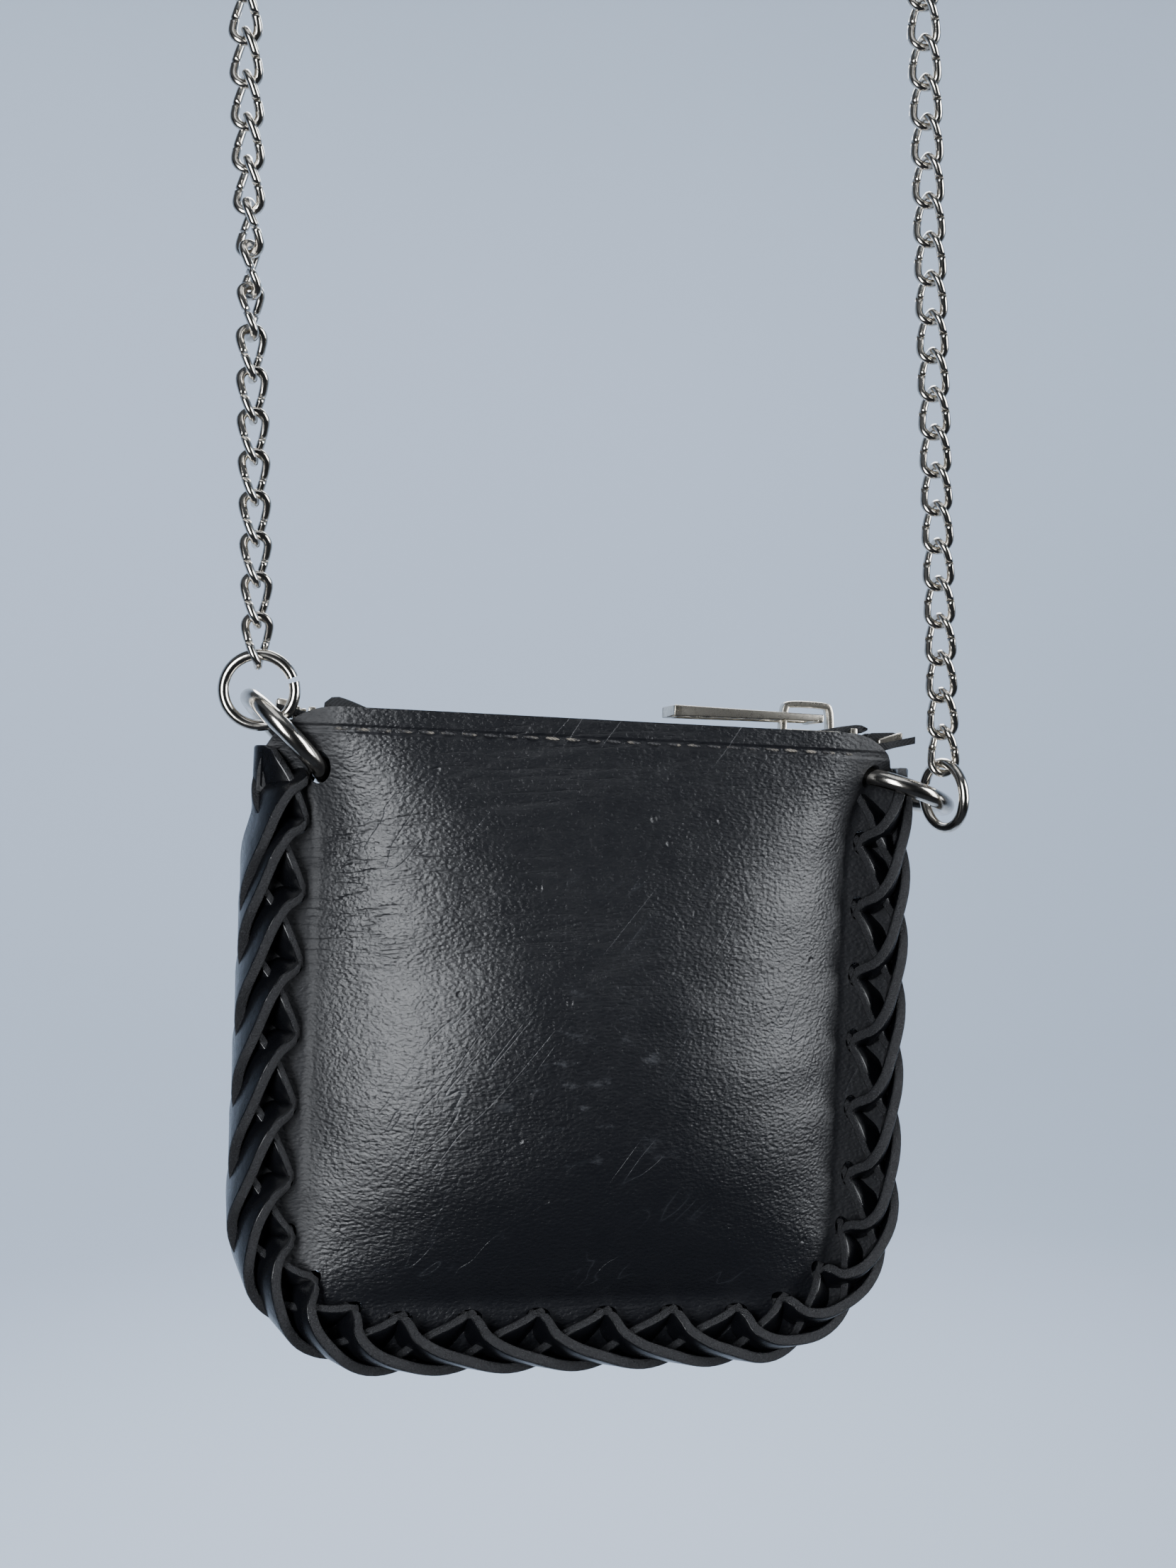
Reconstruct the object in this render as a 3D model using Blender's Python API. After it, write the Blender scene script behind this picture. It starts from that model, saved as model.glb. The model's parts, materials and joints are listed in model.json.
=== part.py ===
"""Chain wallet: a domed leather zip pouch with a cross-laced edge, hung from a curb chain strap.

Metres, +Z up, the front of the pouch faces -Y. The origin is under the top link of the strap,
where a hand, an arm or a hook carries the wallet. The strap lies in the XZ plane. The pouch is
modelled upright in its own frame (x along the zip, z up from the mouth's edge) and hangs from
the two strap rings a little askew, the way the shorter left strand makes it hang.
"""

import math

import bmesh
import bpy
from mathutils import Matrix, Vector

# --- leather pouch, in its own frame ---
PANEL_HALF_WIDTH = 0.0550
PANEL_HEIGHT = 0.1055
LEATHER = 0.0020
TOP_CORNER_R = 0.0120
BOTTOM_CORNER_R = 0.0260
RIM_GAP = 0.00025
RIM_WIDTH = 0.0100
DOME = 0.0110
DOME_LEVEL = 0.0560
MOUTH = 0.0069
FLARE = 0.0110
FLARE_START = 0.0250
FLARE_END = 0.0030
BACK_FLAT = 0.0090

# --- lacing ---
LACE_THICKNESS = 0.0022
LACE_INSET = 0.0072
LACE_FLANGE = 0.0090
LACE_TOP = 0.0138
LACE_SLACK = 0.0014
LACE_HOLES = 21
LACE_SLOT = (0.0046, 0.0026)
CLEAR = 0.0003

# --- zip, size 5 ---
ZIP_LEFT = -0.0524
ZIP_RIGHT = 0.0568
ZIP_LEVEL = -0.0020
ZIP_RISE = 0.0020
ZIP_BEND = 0.0090
ROW_START = 0.00055
ROW_END = 0.0029
ROW_HEIGHT = 0.0024
TAPE = 0.0005
TAPE_DEPTH = 0.0065
TAPE_SEWN = 0.0405
TAPE_CLEAR = 0.0005
TAPE_END = 0.0036
STOP_LENGTH = 0.0045
SLIDER_X = 0.0380
SLIDER_LENGTH = 0.0100
SLIDER_HALF_WIDE = 0.0041
SLIDER_HALF_NARROW = 0.0035
SLIDER_PLATE = 0.0009
SLIDER_WEB = 0.0004
BAIL_WIDTH = 0.0016
BAIL_BAR = 0.0010
PULL_LIFT = 0.0011
PULL_LENGTH = 0.0250
PULL_HALF_WIDTH = 0.0032
PULL_WIRE = 0.0016
STITCH_DROP = 0.0035
THREAD = 0.0006

# --- rings ---
STRAP_RING_R = 0.0085
STRAP_RING_WIRE = 0.0030
JUMP_RING_R = 0.0056
JUMP_RING_WIRE = 0.0018
JUMP_RING_SPLIT = 0.0006
JUMP_RING_SPLIT_AT = math.radians(15)
LEFT_HOLE = (-0.0444, -0.0107)
LEFT_RING_ANGLE = math.radians(135.8)
LEFT_CONTACT = math.radians(-35)
RIGHT_HOLE = (0.0474, -0.0067)
RIGHT_RING_ANGLE = math.radians(-17.2)
RIGHT_CONTACT = math.radians(-42)
RING_HOLE_R = 0.0026
LEFT_JUMP_LEAN = math.radians(10)
LEFT_JUMP_TURN = math.radians(-6)
LEFT_SEAT_SLACK = 0.0009
RIGHT_SEAT_SLACK = 0.0016
RIGHT_JUMP_TURN = math.radians(14)

# --- curb chain ---
LINK_PITCH = 0.00635
LINK_WIRE = 0.0014
LINK_WIDTH = 0.0055
LINK_CLEAR = 0.00018
BEAD = 0.0005
STRAND_LINKS = 15
STRAND_LEAN = math.radians(1.3)
TOP_RUN_LINKS = 5
STRAP_RISE = 0.1120
TURN_LINKS = (6, 12)
TURN_BACK_LINKS = (24, 32)

# --- how the pouch hangs ---
POUCH_TILT = math.radians(5)
POUCH_PITCH = math.radians(-5.9)

LINK_HALF = (LINK_PITCH + LINK_WIRE + LINK_CLEAR) / 2
LINK_HALF_BAR = (LINK_WIDTH - LINK_WIRE) / 2
EDGE_STRAIGHT = PANEL_HEIGHT - BOTTOM_CORNER_R
EDGE_ARC = BOTTOM_CORNER_R * math.pi / 2
EDGE_FLOOR = 2 * (PANEL_HALF_WIDTH - BOTTOM_CORNER_R)
EDGE_LENGTH = 2 * EDGE_STRAIGHT + 2 * EDGE_ARC + EDGE_FLOOR


# --- helpers ---


def clamp01(t):
    return min(1.0, max(0.0, t))


def smooth(t):
    t = clamp01(t)
    return t * t * (3 - 2 * t)


def make_material(name, colour, roughness, metallic):
    material = bpy.data.materials.new(name)
    material.use_nodes = True
    shader = material.node_tree.nodes["Principled BSDF"]
    shader.inputs["Base Color"].default_value = (*colour, 1)
    shader.inputs["Roughness"].default_value = roughness
    shader.inputs["Metallic"].default_value = metallic
    return material


def add_empty(name, location, parent=None):
    empty = bpy.data.objects.new(name, None)
    empty.location = location
    empty.parent = parent
    bpy.context.scene.collection.objects.link(empty)
    return empty


def add_object(name, shape, material, parent=None, origin=(0, 0, 0)):
    """A named object from a bmesh built in its parent's frame, with its origin moved to a pivot."""
    bmesh.ops.recalc_face_normals(shape, faces=shape.faces)
    bmesh.ops.translate(shape, verts=shape.verts, vec=-Vector(origin))
    mesh = bpy.data.meshes.new(name)
    shape.to_mesh(mesh)
    shape.free()
    mesh.materials.append(material)
    obj = bpy.data.objects.new(name, mesh)
    obj.location = origin
    obj.parent = parent
    bpy.context.scene.collection.objects.link(obj)
    return obj


def shade_round(obj):
    obj.data.shade_smooth()
    obj.data.set_sharp_from_angle(angle=math.radians(50))


def bridge_rings(shape, rings, closed):
    """Quads between successive rings of vertices; open runs are capped."""
    count = len(rings[0])
    pairs = list(zip(rings, rings[1:]))
    if closed:
        pairs.append((rings[-1], rings[0]))
    for low, high in pairs:
        for k in range(count):
            n = (k + 1) % count
            shape.faces.new((low[k], low[n], high[n], high[k]))
    if not closed:
        shape.faces.new(rings[0])
        shape.faces.new(list(reversed(rings[-1])))


def tube(points, radii, sides, closed, up, roll=0.0):
    """A bent bar: a polygon of the given radii (across, along up) carried along points."""
    shape = bmesh.new()
    rings = []
    last = len(points) - 1
    for i, point in enumerate(points):
        before = points[i - 1] if i or closed else point
        after = points[(i + 1) % len(points)] if i < last or closed else point
        along = (after - before).normalized()
        across = along.cross(up).normalized()
        rise = across.cross(along)
        ring = []
        for k in range(sides):
            angle = roll + 2 * math.pi * k / sides
            offset = across * radii[0] * math.cos(angle) + rise * radii[1] * math.sin(angle)
            ring.append(shape.verts.new(point + offset))
        rings.append(ring)
    bridge_rings(shape, rings, closed)
    return shape


def loft(sections, closed=False):
    """A closed solid through sections, each a list of points in the same order."""
    shape = bmesh.new()
    rings = [[shape.verts.new(point) for point in section] for section in sections]
    bridge_rings(shape, rings, closed)
    return shape


def block(low, high):
    shape = bmesh.new()
    bmesh.ops.create_cube(shape, size=1)
    size = Vector(high) - Vector(low)
    bmesh.ops.scale(shape, verts=shape.verts, vec=size)
    bmesh.ops.translate(shape, verts=shape.verts, vec=(Vector(high) + Vector(low)) / 2)
    return shape


def combine(obj, operation, shapes, parent=None):
    """Join shapes to an object, or cut them from it, with one Boolean on a collection."""
    tools = bpy.data.collections.new(obj.name + "_tools")
    bpy.context.scene.collection.children.link(tools)
    for number, shape in enumerate(shapes):
        tool = add_object(f"{obj.name}_tool_{number}", shape, obj.data.materials[0], parent)
        bpy.context.scene.collection.objects.unlink(tool)
        tools.objects.link(tool)
        tool.hide_render = True
        tool.display_type = "WIRE"
    change = obj.modifiers.new(operation.lower(), "BOOLEAN")
    change.operation = operation
    change.operand_type = "COLLECTION"
    change.collection = tools
    change.solver = "EXACT"


# --- pouch shape ---


def hollow_depth(z):
    """Half the pouch's inner depth along its middle, at a height below the mouth."""
    if z > -DOME_LEVEL:
        return MOUTH + (DOME - MOUTH) * smooth(-z / DOME_LEVEL)
    down = clamp01((-z - DOME_LEVEL) / (PANEL_HEIGHT - RIM_WIDTH - DOME_LEVEL))
    return DOME * (1 - down**2.2) ** 0.9


def half_gap(x, z):
    """Half the distance between the two panels' inner faces."""
    flare = clamp01((z + FLARE_START) / (FLARE_START - FLARE_END)) ** 3
    reach = PANEL_HALF_WIDTH - RIM_WIDTH + FLARE * flare
    square = 2.6 + 4.4 * clamp01((z + 0.048) / 0.040) ** 2
    share = 1 - clamp01(abs(x) / reach) ** square
    return RIM_GAP + hollow_depth(z) * share


def back_gap(x, z):
    return min(half_gap(x, z), BACK_FLAT)


def edge_point(s):
    """A point on the panel's left, bottom and right edge, and the way in from it."""
    if s > EDGE_LENGTH / 2:
        point, inward = edge_point(EDGE_LENGTH - s)
        return (-point[0], point[1]), (-inward[0], inward[1])
    if s < EDGE_STRAIGHT:
        return (-PANEL_HALF_WIDTH, -s), (1, 0)
    turn = (s - EDGE_STRAIGHT) / BOTTOM_CORNER_R
    centre = (BOTTOM_CORNER_R - PANEL_HALF_WIDTH, BOTTOM_CORNER_R - PANEL_HEIGHT)
    if turn < math.pi / 2:
        inward = (math.cos(turn), math.sin(turn))
        return tuple(c - BOTTOM_CORNER_R * i for c, i in zip(centre, inward)), inward
    return (centre[0] + s - EDGE_STRAIGHT - EDGE_ARC, -PANEL_HEIGHT), (0, 1)


def edge_stations(start, step):
    """Evenly stepped places on the straights and arcs of half the edge, mirrored to the other."""
    breaks = [start, EDGE_STRAIGHT, EDGE_STRAIGHT + EDGE_ARC, EDGE_LENGTH / 2]
    half = []
    for low, high in zip(breaks, breaks[1:]):
        count = math.ceil((high - low) / step - 1e-9)
        half += [low + (high - low) * k / count for k in range(count)]
    return half + [EDGE_LENGTH / 2] + [EDGE_LENGTH - s for s in reversed(half)]


def panel_outline():
    """The panel's outline, from the top left corner down, round the bottom and back."""
    outline = [edge_point(s)[0] for s in edge_stations(TOP_CORNER_R, 0.0110)]
    corner = PANEL_HALF_WIDTH - TOP_CORNER_R
    arc = [math.radians(a) for a in (22.5, 45, 67.5)]
    turned = [(TOP_CORNER_R * math.cos(a), TOP_CORNER_R * math.sin(a)) for a in arc]
    top = [corner * share for share in (1, 0.9, 0.8, 0.65, 0.4, 0.13)]
    outline += [(corner + x, z - TOP_CORNER_R) for x, z in turned]
    outline += [(x, 0) for x in top]
    outline += [(-x, 0) for x in reversed(top)]
    outline += [(-corner - x, z - TOP_CORNER_R) for x, z in reversed(turned)]
    return outline


def panel_shape(side, gap):
    """One leather panel: side -1 is the front, +1 the back."""
    outline = panel_outline()
    middle = -PANEL_HEIGHT / 2
    shares = (0.3, 0.6, 0.82, 0.91, 1.0)
    shape = bmesh.new()
    skins = []
    for lift in (0, LEATHER):
        centre = shape.verts.new((0, side * (gap(0, middle) + lift), middle))
        rings = []
        for share in shares:
            places = [(x * share, middle + (z - middle) * share) for x, z in outline]
            rings.append([shape.verts.new((x, side * (gap(x, z) + lift), z)) for x, z in places])
        for k in range(len(outline)):
            n = (k + 1) % len(outline)
            shape.faces.new((centre, rings[0][k], rings[0][n]))
            for low, high in zip(rings, rings[1:]):
                shape.faces.new((low[k], low[n], high[n]))
                shape.faces.new((low[k], high[n], high[k]))
        skins.append(rings[-1])
    for k in range(len(outline)):
        n = (k + 1) % len(outline)
        shape.faces.new((skins[0][k], skins[0][n], skins[1][n], skins[1][k]))
    return shape


def lace_hole_places():
    """The places along the edge of the lacing holes, evenly spread."""
    first = LACE_TOP + LACE_SLOT[0]
    step = (EDGE_LENGTH - 2 * first) / (LACE_HOLES - 1)
    return [first + step * k for k in range(LACE_HOLES)]


def edge_bar(s, size, reach):
    """An upright bar through both panels at a lacing hole, its long side along the edge."""
    (x, z), (nx, nz) = edge_point(s)
    middle = Vector((x + nx * LACE_INSET, 0, z + nz * LACE_INSET))
    turn = Matrix.Rotation(-math.atan2(nz, nx), 4, "Y")
    shape = block((-size[1] / 2, -reach, -size[0] / 2), (size[1] / 2, reach, size[0] / 2))
    bmesh.ops.transform(shape, matrix=Matrix.Translation(middle) @ turn, verts=shape.verts)
    return shape


def ring_plane_point(hole, angle, along, depth):
    """A point in a strap ring's plane: along from its hole outwards, and across the pouch."""
    return Vector((hole[0] + along * math.cos(angle), depth, hole[1] + along * math.sin(angle)))


def ring_cutter(hole, angle, side):
    """A round cutter on the strap ring's path through one panel."""
    depth = half_gap(*hole) + LEATHER / 2
    turn = math.asin(clamp01(depth / STRAP_RING_R))
    along = STRAP_RING_R * (1 - math.cos(turn))
    centre = ring_plane_point(hole, angle, along, side * depth)
    ahead = ring_plane_point((0, 0), angle, math.sin(turn), side * math.cos(turn))
    reach = ahead * (LEATHER * 2.4)
    return tube([centre - reach, centre + reach], (RING_HOLE_R, RING_HOLE_R), 10, False, Vector((0, 0, 1)))


def make_panels(parent, leather):
    slot = (LACE_SLOT[0] + 2 * CLEAR, LACE_SLOT[1] + 2 * CLEAR)
    for name, side, gap in (("front_panel", -1, half_gap), ("back_panel", 1, back_gap)):
        panel = add_object(name, panel_shape(side, gap), leather, parent)
        cutters = [edge_bar(s, slot, DOME) for s in lace_hole_places()]
        for hole, angle in ((LEFT_HOLE, LEFT_RING_ANGLE), (RIGHT_HOLE, RIGHT_RING_ANGLE)):
            cutters.append(ring_cutter(hole, angle, side))
        combine(panel, "DIFFERENCE", cutters, parent)


def make_lace(parent, leather):
    """The laced edge: a channel folded over both rims, pinned through the lacing holes."""
    sections = []
    for s in edge_stations(LACE_TOP, 0.0105):
        (x, z), (nx, nz) = edge_point(s)
        stops = ((LACE_FLANGE, LACE_FLANGE + LACE_SLACK), (LACE_FLANGE / 2, LACE_FLANGE / 2), (-CLEAR, 0))
        inner = [(d, half_gap(x + nx * deep, z + nz * deep) + LEATHER + CLEAR) for d, deep in stops]
        outer = [(d, gap + LACE_THICKNESS) for d, gap in inner[:2]]
        outer.append((-CLEAR - LACE_THICKNESS, inner[2][1] + LACE_THICKNESS / 3))
        loop = [(d, -gap) for d, gap in outer] + [(d, gap) for d, gap in reversed(outer)]
        loop += inner + [(d, -gap) for d, gap in reversed(inner)]
        sections.append([Vector((x + nx * d, y, z + nz * d)) for d, y in loop])
    lace = add_object("edge_lace", loft(sections), leather, parent)
    reach = RIM_GAP + LEATHER + CLEAR + LACE_THICKNESS / 2
    combine(lace, "UNION", [edge_bar(s, LACE_SLOT, reach) for s in lace_hole_places()], parent)


# --- zip ---


def zip_level(x):
    """The height of the zip's row; both ends bend up and out of the mouth."""
    left = smooth((ZIP_LEFT + ZIP_BEND - x) / ZIP_BEND)
    right = smooth((x - ZIP_RIGHT + ZIP_BEND) / ZIP_BEND)
    return ZIP_LEVEL + ZIP_RISE * max(left, right)


def zip_stations(low, high, step):
    count = math.ceil((high - low) / step)
    return [low + (high - low) * k / count for k in range(count + 1)]


def make_tapes(parent, cloth):
    """Two cloth tapes: each runs from its row of teeth to the leather and down inside it."""
    for name, side in (("zip_tape_front", -1), ("zip_tape_back", 1)):
        sections = []
        for x in zip_stations(ZIP_LEFT, ZIP_RIGHT, 0.0055):
            level = zip_level(x)
            inside = abs(x) < TAPE_SEWN
            top = level + TAPE / 2
            foot = -TAPE_DEPTH if inside else level - 2 * TAPE
            reach_top = min(half_gap(x, min(top, 0)) - TAPE_CLEAR, MOUTH) if inside else TAPE_END
            reach_foot = half_gap(x, foot) - TAPE_CLEAR if inside else reach_top
            row = ROW_END + CLEAR
            loop = [
                (row, top),
                (reach_top, top),
                (reach_foot, foot),
                (reach_foot - TAPE, foot),
                (reach_top - TAPE, level - TAPE / 2),
                (row, level - TAPE / 2),
            ]
            sections.append([Vector((x, side * y, z)) for y, z in loop])
        add_object(name, loft(sections), cloth, parent)


def row_bar(low, high, start, end, height, side):
    sections = []
    for x in zip_stations(low, high, 0.0060):
        level = zip_level(x)
        corners = ((start, height), (end, height), (end, -height), (start, -height))
        sections.append([Vector((x, side * y, level + z / 2)) for y, z in corners])
    return loft(sections)


def make_rows(parent, metal):
    """The two rows of teeth, their top stops at the right and the bottom stop at the left."""
    left = ZIP_LEFT + STOP_LENGTH / 2 + CLEAR
    right = ZIP_RIGHT - STOP_LENGTH - 0.0020
    for place, side in (("front", -1), ("back", 1)):
        row = row_bar(left, right - CLEAR, ROW_START, ROW_END, ROW_HEIGHT, side)
        add_object(f"zip_teeth_{place}", row, metal, parent)
        stop = row_bar(right, right + STOP_LENGTH, ROW_START, ROW_END, ROW_HEIGHT, side)
        add_object(f"zip_top_stop_{place}", stop, metal, parent)
    bottom = row_bar(ZIP_LEFT, left - CLEAR, -ROW_END, ROW_END, ROW_HEIGHT, 1)
    add_object("zip_bottom_stop", bottom, metal, parent)


def make_slider(parent, metal):
    """The slider's two plates joined by the post between the rows, with its bail on top."""
    left = SLIDER_X - SLIDER_LENGTH / 2
    right = SLIDER_X + SLIDER_LENGTH / 2
    plan = ((left, SLIDER_HALF_NARROW), (right, SLIDER_HALF_WIDE))
    inner = ROW_HEIGHT / 2 + CLEAR
    plates = []
    for low, high in ((inner, inner + SLIDER_PLATE), (-inner - SLIDER_PLATE, -inner)):
        ends = []
        for x, half in plan:
            corners = ((-half, low), (half, low), (half, high), (-half, high))
            ends.append([Vector((x, y, ZIP_LEVEL + z)) for y, z in corners])
        plates.append(loft(ends))
    top = ZIP_LEVEL + inner + SLIDER_PLATE
    low = ZIP_LEVEL - inner - SLIDER_PLATE / 2
    half_web = SLIDER_WEB / 2
    web = block((SLIDER_X, -half_web, low), (right - CLEAR, half_web, top - SLIDER_PLATE / 2))
    rise = bail_height()
    profile = [(left + 0.0008, top - 0.0004), (left + 0.0010, top + rise * 0.8)]
    profile += [(left + 0.0024, top + rise), (right - 0.0028, top + rise)]
    profile += [(right - 0.0012, top + rise * 0.6), (right - 0.0010, top - 0.0004)]
    path = [Vector((x, 0, z)) for x, z in profile]
    corner = math.sqrt(2) / 2
    radii = (BAIL_BAR * corner, BAIL_WIDTH * corner)
    bail = tube(path, radii, 4, False, Vector((0, 1, 0)), math.pi / 4)
    slider = add_object("zip_slider", plates[0], metal, parent, (SLIDER_X, 0, ZIP_LEVEL))
    combine(slider, "UNION", [plates[1], web, bail], parent)


def bail_height():
    return PULL_LIFT + PULL_WIRE + CLEAR + BAIL_BAR


def pull_pivot():
    top = ZIP_LEVEL + ROW_HEIGHT / 2 + CLEAR + SLIDER_PLATE
    return Vector((SLIDER_X + 0.0010, 0, top + PULL_LIFT + PULL_WIRE / 2))


def make_pull(parent, metal):
    """The pull: a long wire loop round the bail, lying back over the closed teeth."""
    pivot = pull_pivot()
    corner = 0.0016
    low = pivot.x - PULL_LENGTH
    half = PULL_HALF_WIDTH
    outline = []
    centres = ((low + corner, half - corner, 90), (low + corner, corner - half, 180))
    centres += ((pivot.x - corner, corner - half, 270), (pivot.x - corner, half - corner, 0))
    for cx, cy, start in centres:
        for part in (0, 45, 90):
            a = math.radians(start + part)
            outline.append(Vector((cx + corner * math.cos(a), cy + corner * math.sin(a), pivot.z)))
    radius = PULL_WIRE / 2
    wire = tube(outline, (radius, radius), 6, True, Vector((0, 0, 1)))
    add_object("zip_pull", wire, metal, parent, pivot)


def make_threads(parent, thread):
    """The seam under each edge of the mouth, laid on the leather."""
    reach = PANEL_HALF_WIDTH - TOP_CORNER_R
    for name, side, gap in (("seam_thread_front", -1, half_gap), ("seam_thread_back", 1, back_gap)):
        points = []
        for x in zip_stations(-reach, reach, 0.0050):
            lift = gap(x, -STITCH_DROP) + LEATHER + CLEAR + THREAD / 2
            points.append(Vector((x, side * lift, -STITCH_DROP)))
        seam = tube(points, (THREAD / 2, THREAD / 2), 4, False, Vector((0, 1, 0)))
        add_object(name, seam, thread, parent)


# --- rings ---


def circle(centre, across, up, radius, count, start=0.0, sweep=2 * math.pi):
    """Points round a circle; a full turn leaves its last point out."""
    steps = count if sweep > 6.28 else count - 1
    angles = [start + sweep * k / steps for k in range(count)]
    return [centre + across * radius * math.cos(a) + up * radius * math.sin(a) for a in angles]


def strap_ring_contact(hole, angle, contact):
    """Where a jump ring holds a strap ring's wire, in the pouch's frame."""
    along = STRAP_RING_R * (1 + math.cos(contact))
    return ring_plane_point(hole, angle, along, STRAP_RING_R * math.sin(contact))


def make_strap_rings(parent, metal):
    for name, hole, angle in (
        ("strap_ring_left", LEFT_HOLE, LEFT_RING_ANGLE),
        ("strap_ring_right", RIGHT_HOLE, RIGHT_RING_ANGLE),
    ):
        centre = ring_plane_point(hole, angle, STRAP_RING_R, 0)
        outward = ring_plane_point((0, 0), angle, 1, 0)
        up = outward.cross(Vector((0, 1, 0)))
        points = circle(centre, outward, Vector((0, 1, 0)), STRAP_RING_R, 24)
        radius = STRAP_RING_WIRE / 2
        ring = tube(points, (radius, radius), 8, True, up)
        pivot = ring_plane_point(hole, angle, 0, 0)
        shade_round(add_object(name, ring, metal, parent, pivot))


def make_jump_ring(name, centre, across, hook, metal):
    """A split ring of round wire standing upright, with its origin where the chain holds it."""
    up = Vector((0, 0, 1))
    gap = JUMP_RING_SPLIT / JUMP_RING_R
    start = JUMP_RING_SPLIT_AT + gap / 2
    points = circle(centre, across, up, JUMP_RING_R, 22, start, 2 * math.pi - gap)
    radius = JUMP_RING_WIRE / 2
    ring = tube(points, (radius, radius), 6, False, across.cross(up))
    shade_round(add_object(name, ring, metal, None, hook))


# --- chain ---


def link_shape(place):
    """One link: an oval of wire given a quarter turn from end to end."""
    straight = LINK_HALF - LINK_HALF_BAR
    diagonal = LINK_HALF_BAR * math.sqrt(0.5)
    quarter = [(LINK_HALF_BAR, straight), (diagonal, straight + diagonal), (0, LINK_HALF)]
    oval = [(LINK_HALF_BAR, 0)] + quarter + [(-x, z) for x, z in reversed(quarter[:2])]
    oval += [(-x, -z) for x, z in oval]
    points = []
    for x, z in oval:
        turn = -math.pi / 4 * (z / LINK_HALF + 1)
        points.append(Vector((x * math.cos(turn), x * math.sin(turn), z)))
    shape = bmesh.new()
    rings = []
    for i, point in enumerate(points):
        along = (points[(i + 1) % len(points)] - points[i - 1]).normalized()
        side = along.cross(point).normalized()
        out = side.cross(along)
        radius = LINK_WIRE / 2
        rings.append([shape.verts.new(point + o * radius) for o in (side, out, -side, -out)])
    bridge_rings(shape, rings, True)
    bmesh.ops.transform(shape, matrix=place, verts=shape.verts)
    return shape


def bead_shape(place):
    """A small bead where one link of a joined run rests in the next."""
    shape = bmesh.new()
    bmesh.ops.create_cone(
        shape, segments=4, radius1=BEAD, radius2=BEAD, depth=LINK_WIRE, cap_ends=True
    )
    bmesh.ops.transform(shape, matrix=place, verts=shape.verts)
    return shape


def strap_plan(left_hook, right_hook):
    """The strap's path: up a leaning left strand, round an arc, down the right strand.

    Returns a function giving the place of a link by its number from the left, the number of
    links, and the arc's centre and radius.
    """
    lean = STRAND_LEAN
    rise_left = Vector((math.sin(lean), 0, math.cos(lean)))
    rise_right = Vector((-math.sin(lean), 0, math.cos(lean)))
    middle = (left_hook.x + right_hook.x) / 2
    middle += (right_hook.z - left_hook.z) * math.tan(lean) / 2

    def arc(level):
        half = middle - left_hook.x - (level - left_hook.z) * math.tan(lean)
        radius = half * math.cos(lean)
        centre = Vector((middle, 0, level))
        left = (centre + Vector((-math.cos(lean), 0, math.sin(lean))) * radius - left_hook).dot(rise_left)
        right = (centre + Vector((math.cos(lean), 0, math.sin(lean))) * radius - right_hook).dot(rise_right)
        return centre, radius, left, right, left + right + radius * (math.pi - 2 * lean)

    low = left_hook.z + STRAP_RISE
    length, growth = arc(low)[4], arc(low + 1)[4] - arc(low)[4]
    count = math.ceil(length / LINK_PITCH)
    centre, radius, left, right, _ = arc(low + (count * LINK_PITCH - length) / growth)

    def place(number):
        s = (number + 0.5) * LINK_PITCH
        turned = (s - left) / radius
        if s < left:
            spot, along = left_hook + rise_left * s, rise_left
        elif turned < math.pi - 2 * lean:
            angle = math.pi - lean - turned
            spot = centre + Vector((math.cos(angle), 0, math.sin(angle))) * radius
            along = Vector((math.sin(angle), 0, -math.cos(angle)))
        else:
            spot = right_hook + rise_right * (count * LINK_PITCH - s)
            along = -rise_right
        quarter = smooth((number - TURN_LINKS[0]) / (TURN_LINKS[1] - TURN_LINKS[0]))
        back = smooth((number - TURN_BACK_LINKS[0]) / (TURN_BACK_LINKS[1] - TURN_BACK_LINKS[0]))
        roll = math.pi / 2 * (1 + quarter - back)
        depth = Vector((0, 1, 0))
        across = depth.cross(along)
        turn = Matrix((across, depth, along)).transposed() @ Matrix.Rotation(roll, 3, "Z")
        return Matrix.Translation(spot) @ turn.to_4x4()

    return place, count, centre, radius


def make_chain(place, count, parents, metal):
    """Single links in both strands and at the pivots, and joined runs over the top."""
    top, carrier, left, right = parents
    for number in range(STRAND_LINKS):
        for side, parent, index in (("left", left, number), ("right", right, count - 1 - number)):
            shape = link_shape(place(index))
            moved = Matrix.Translation(-parent.matrix_world.translation)
            bmesh.ops.transform(shape, matrix=moved, verts=shape.verts)
            shade_round(add_object(f"{side}_link_{number + 1:02d}", shape, metal, parent))
    for side, index in (("left", STRAND_LINKS), ("right", count - 1 - STRAND_LINKS)):
        shape = link_shape(place(index))
        bmesh.ops.translate(shape, verts=shape.verts, vec=-carrier.matrix_world.translation)
        shade_round(add_object(f"carrier_link_{side}", shape, metal, carrier))
    first, last = STRAND_LINKS + 1, count - 1 - STRAND_LINKS
    runs = math.ceil((last - first) / TOP_RUN_LINKS)
    starts = [first + round((last - first) * k / runs) for k in range(runs + 1)]
    for run, (low, high) in enumerate(zip(starts, starts[1:])):
        body = add_object(f"top_links_{run + 1}", link_shape(place(low)), metal, top)
        added = []
        for index in range(low + 1, high):
            added.append(link_shape(place(index)))
            between = place(index - 1).lerp(place(index), 0.5)
            added.append(bead_shape(between))
        combine(body, "UNION", added)


# --- the whole wallet ---


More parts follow.
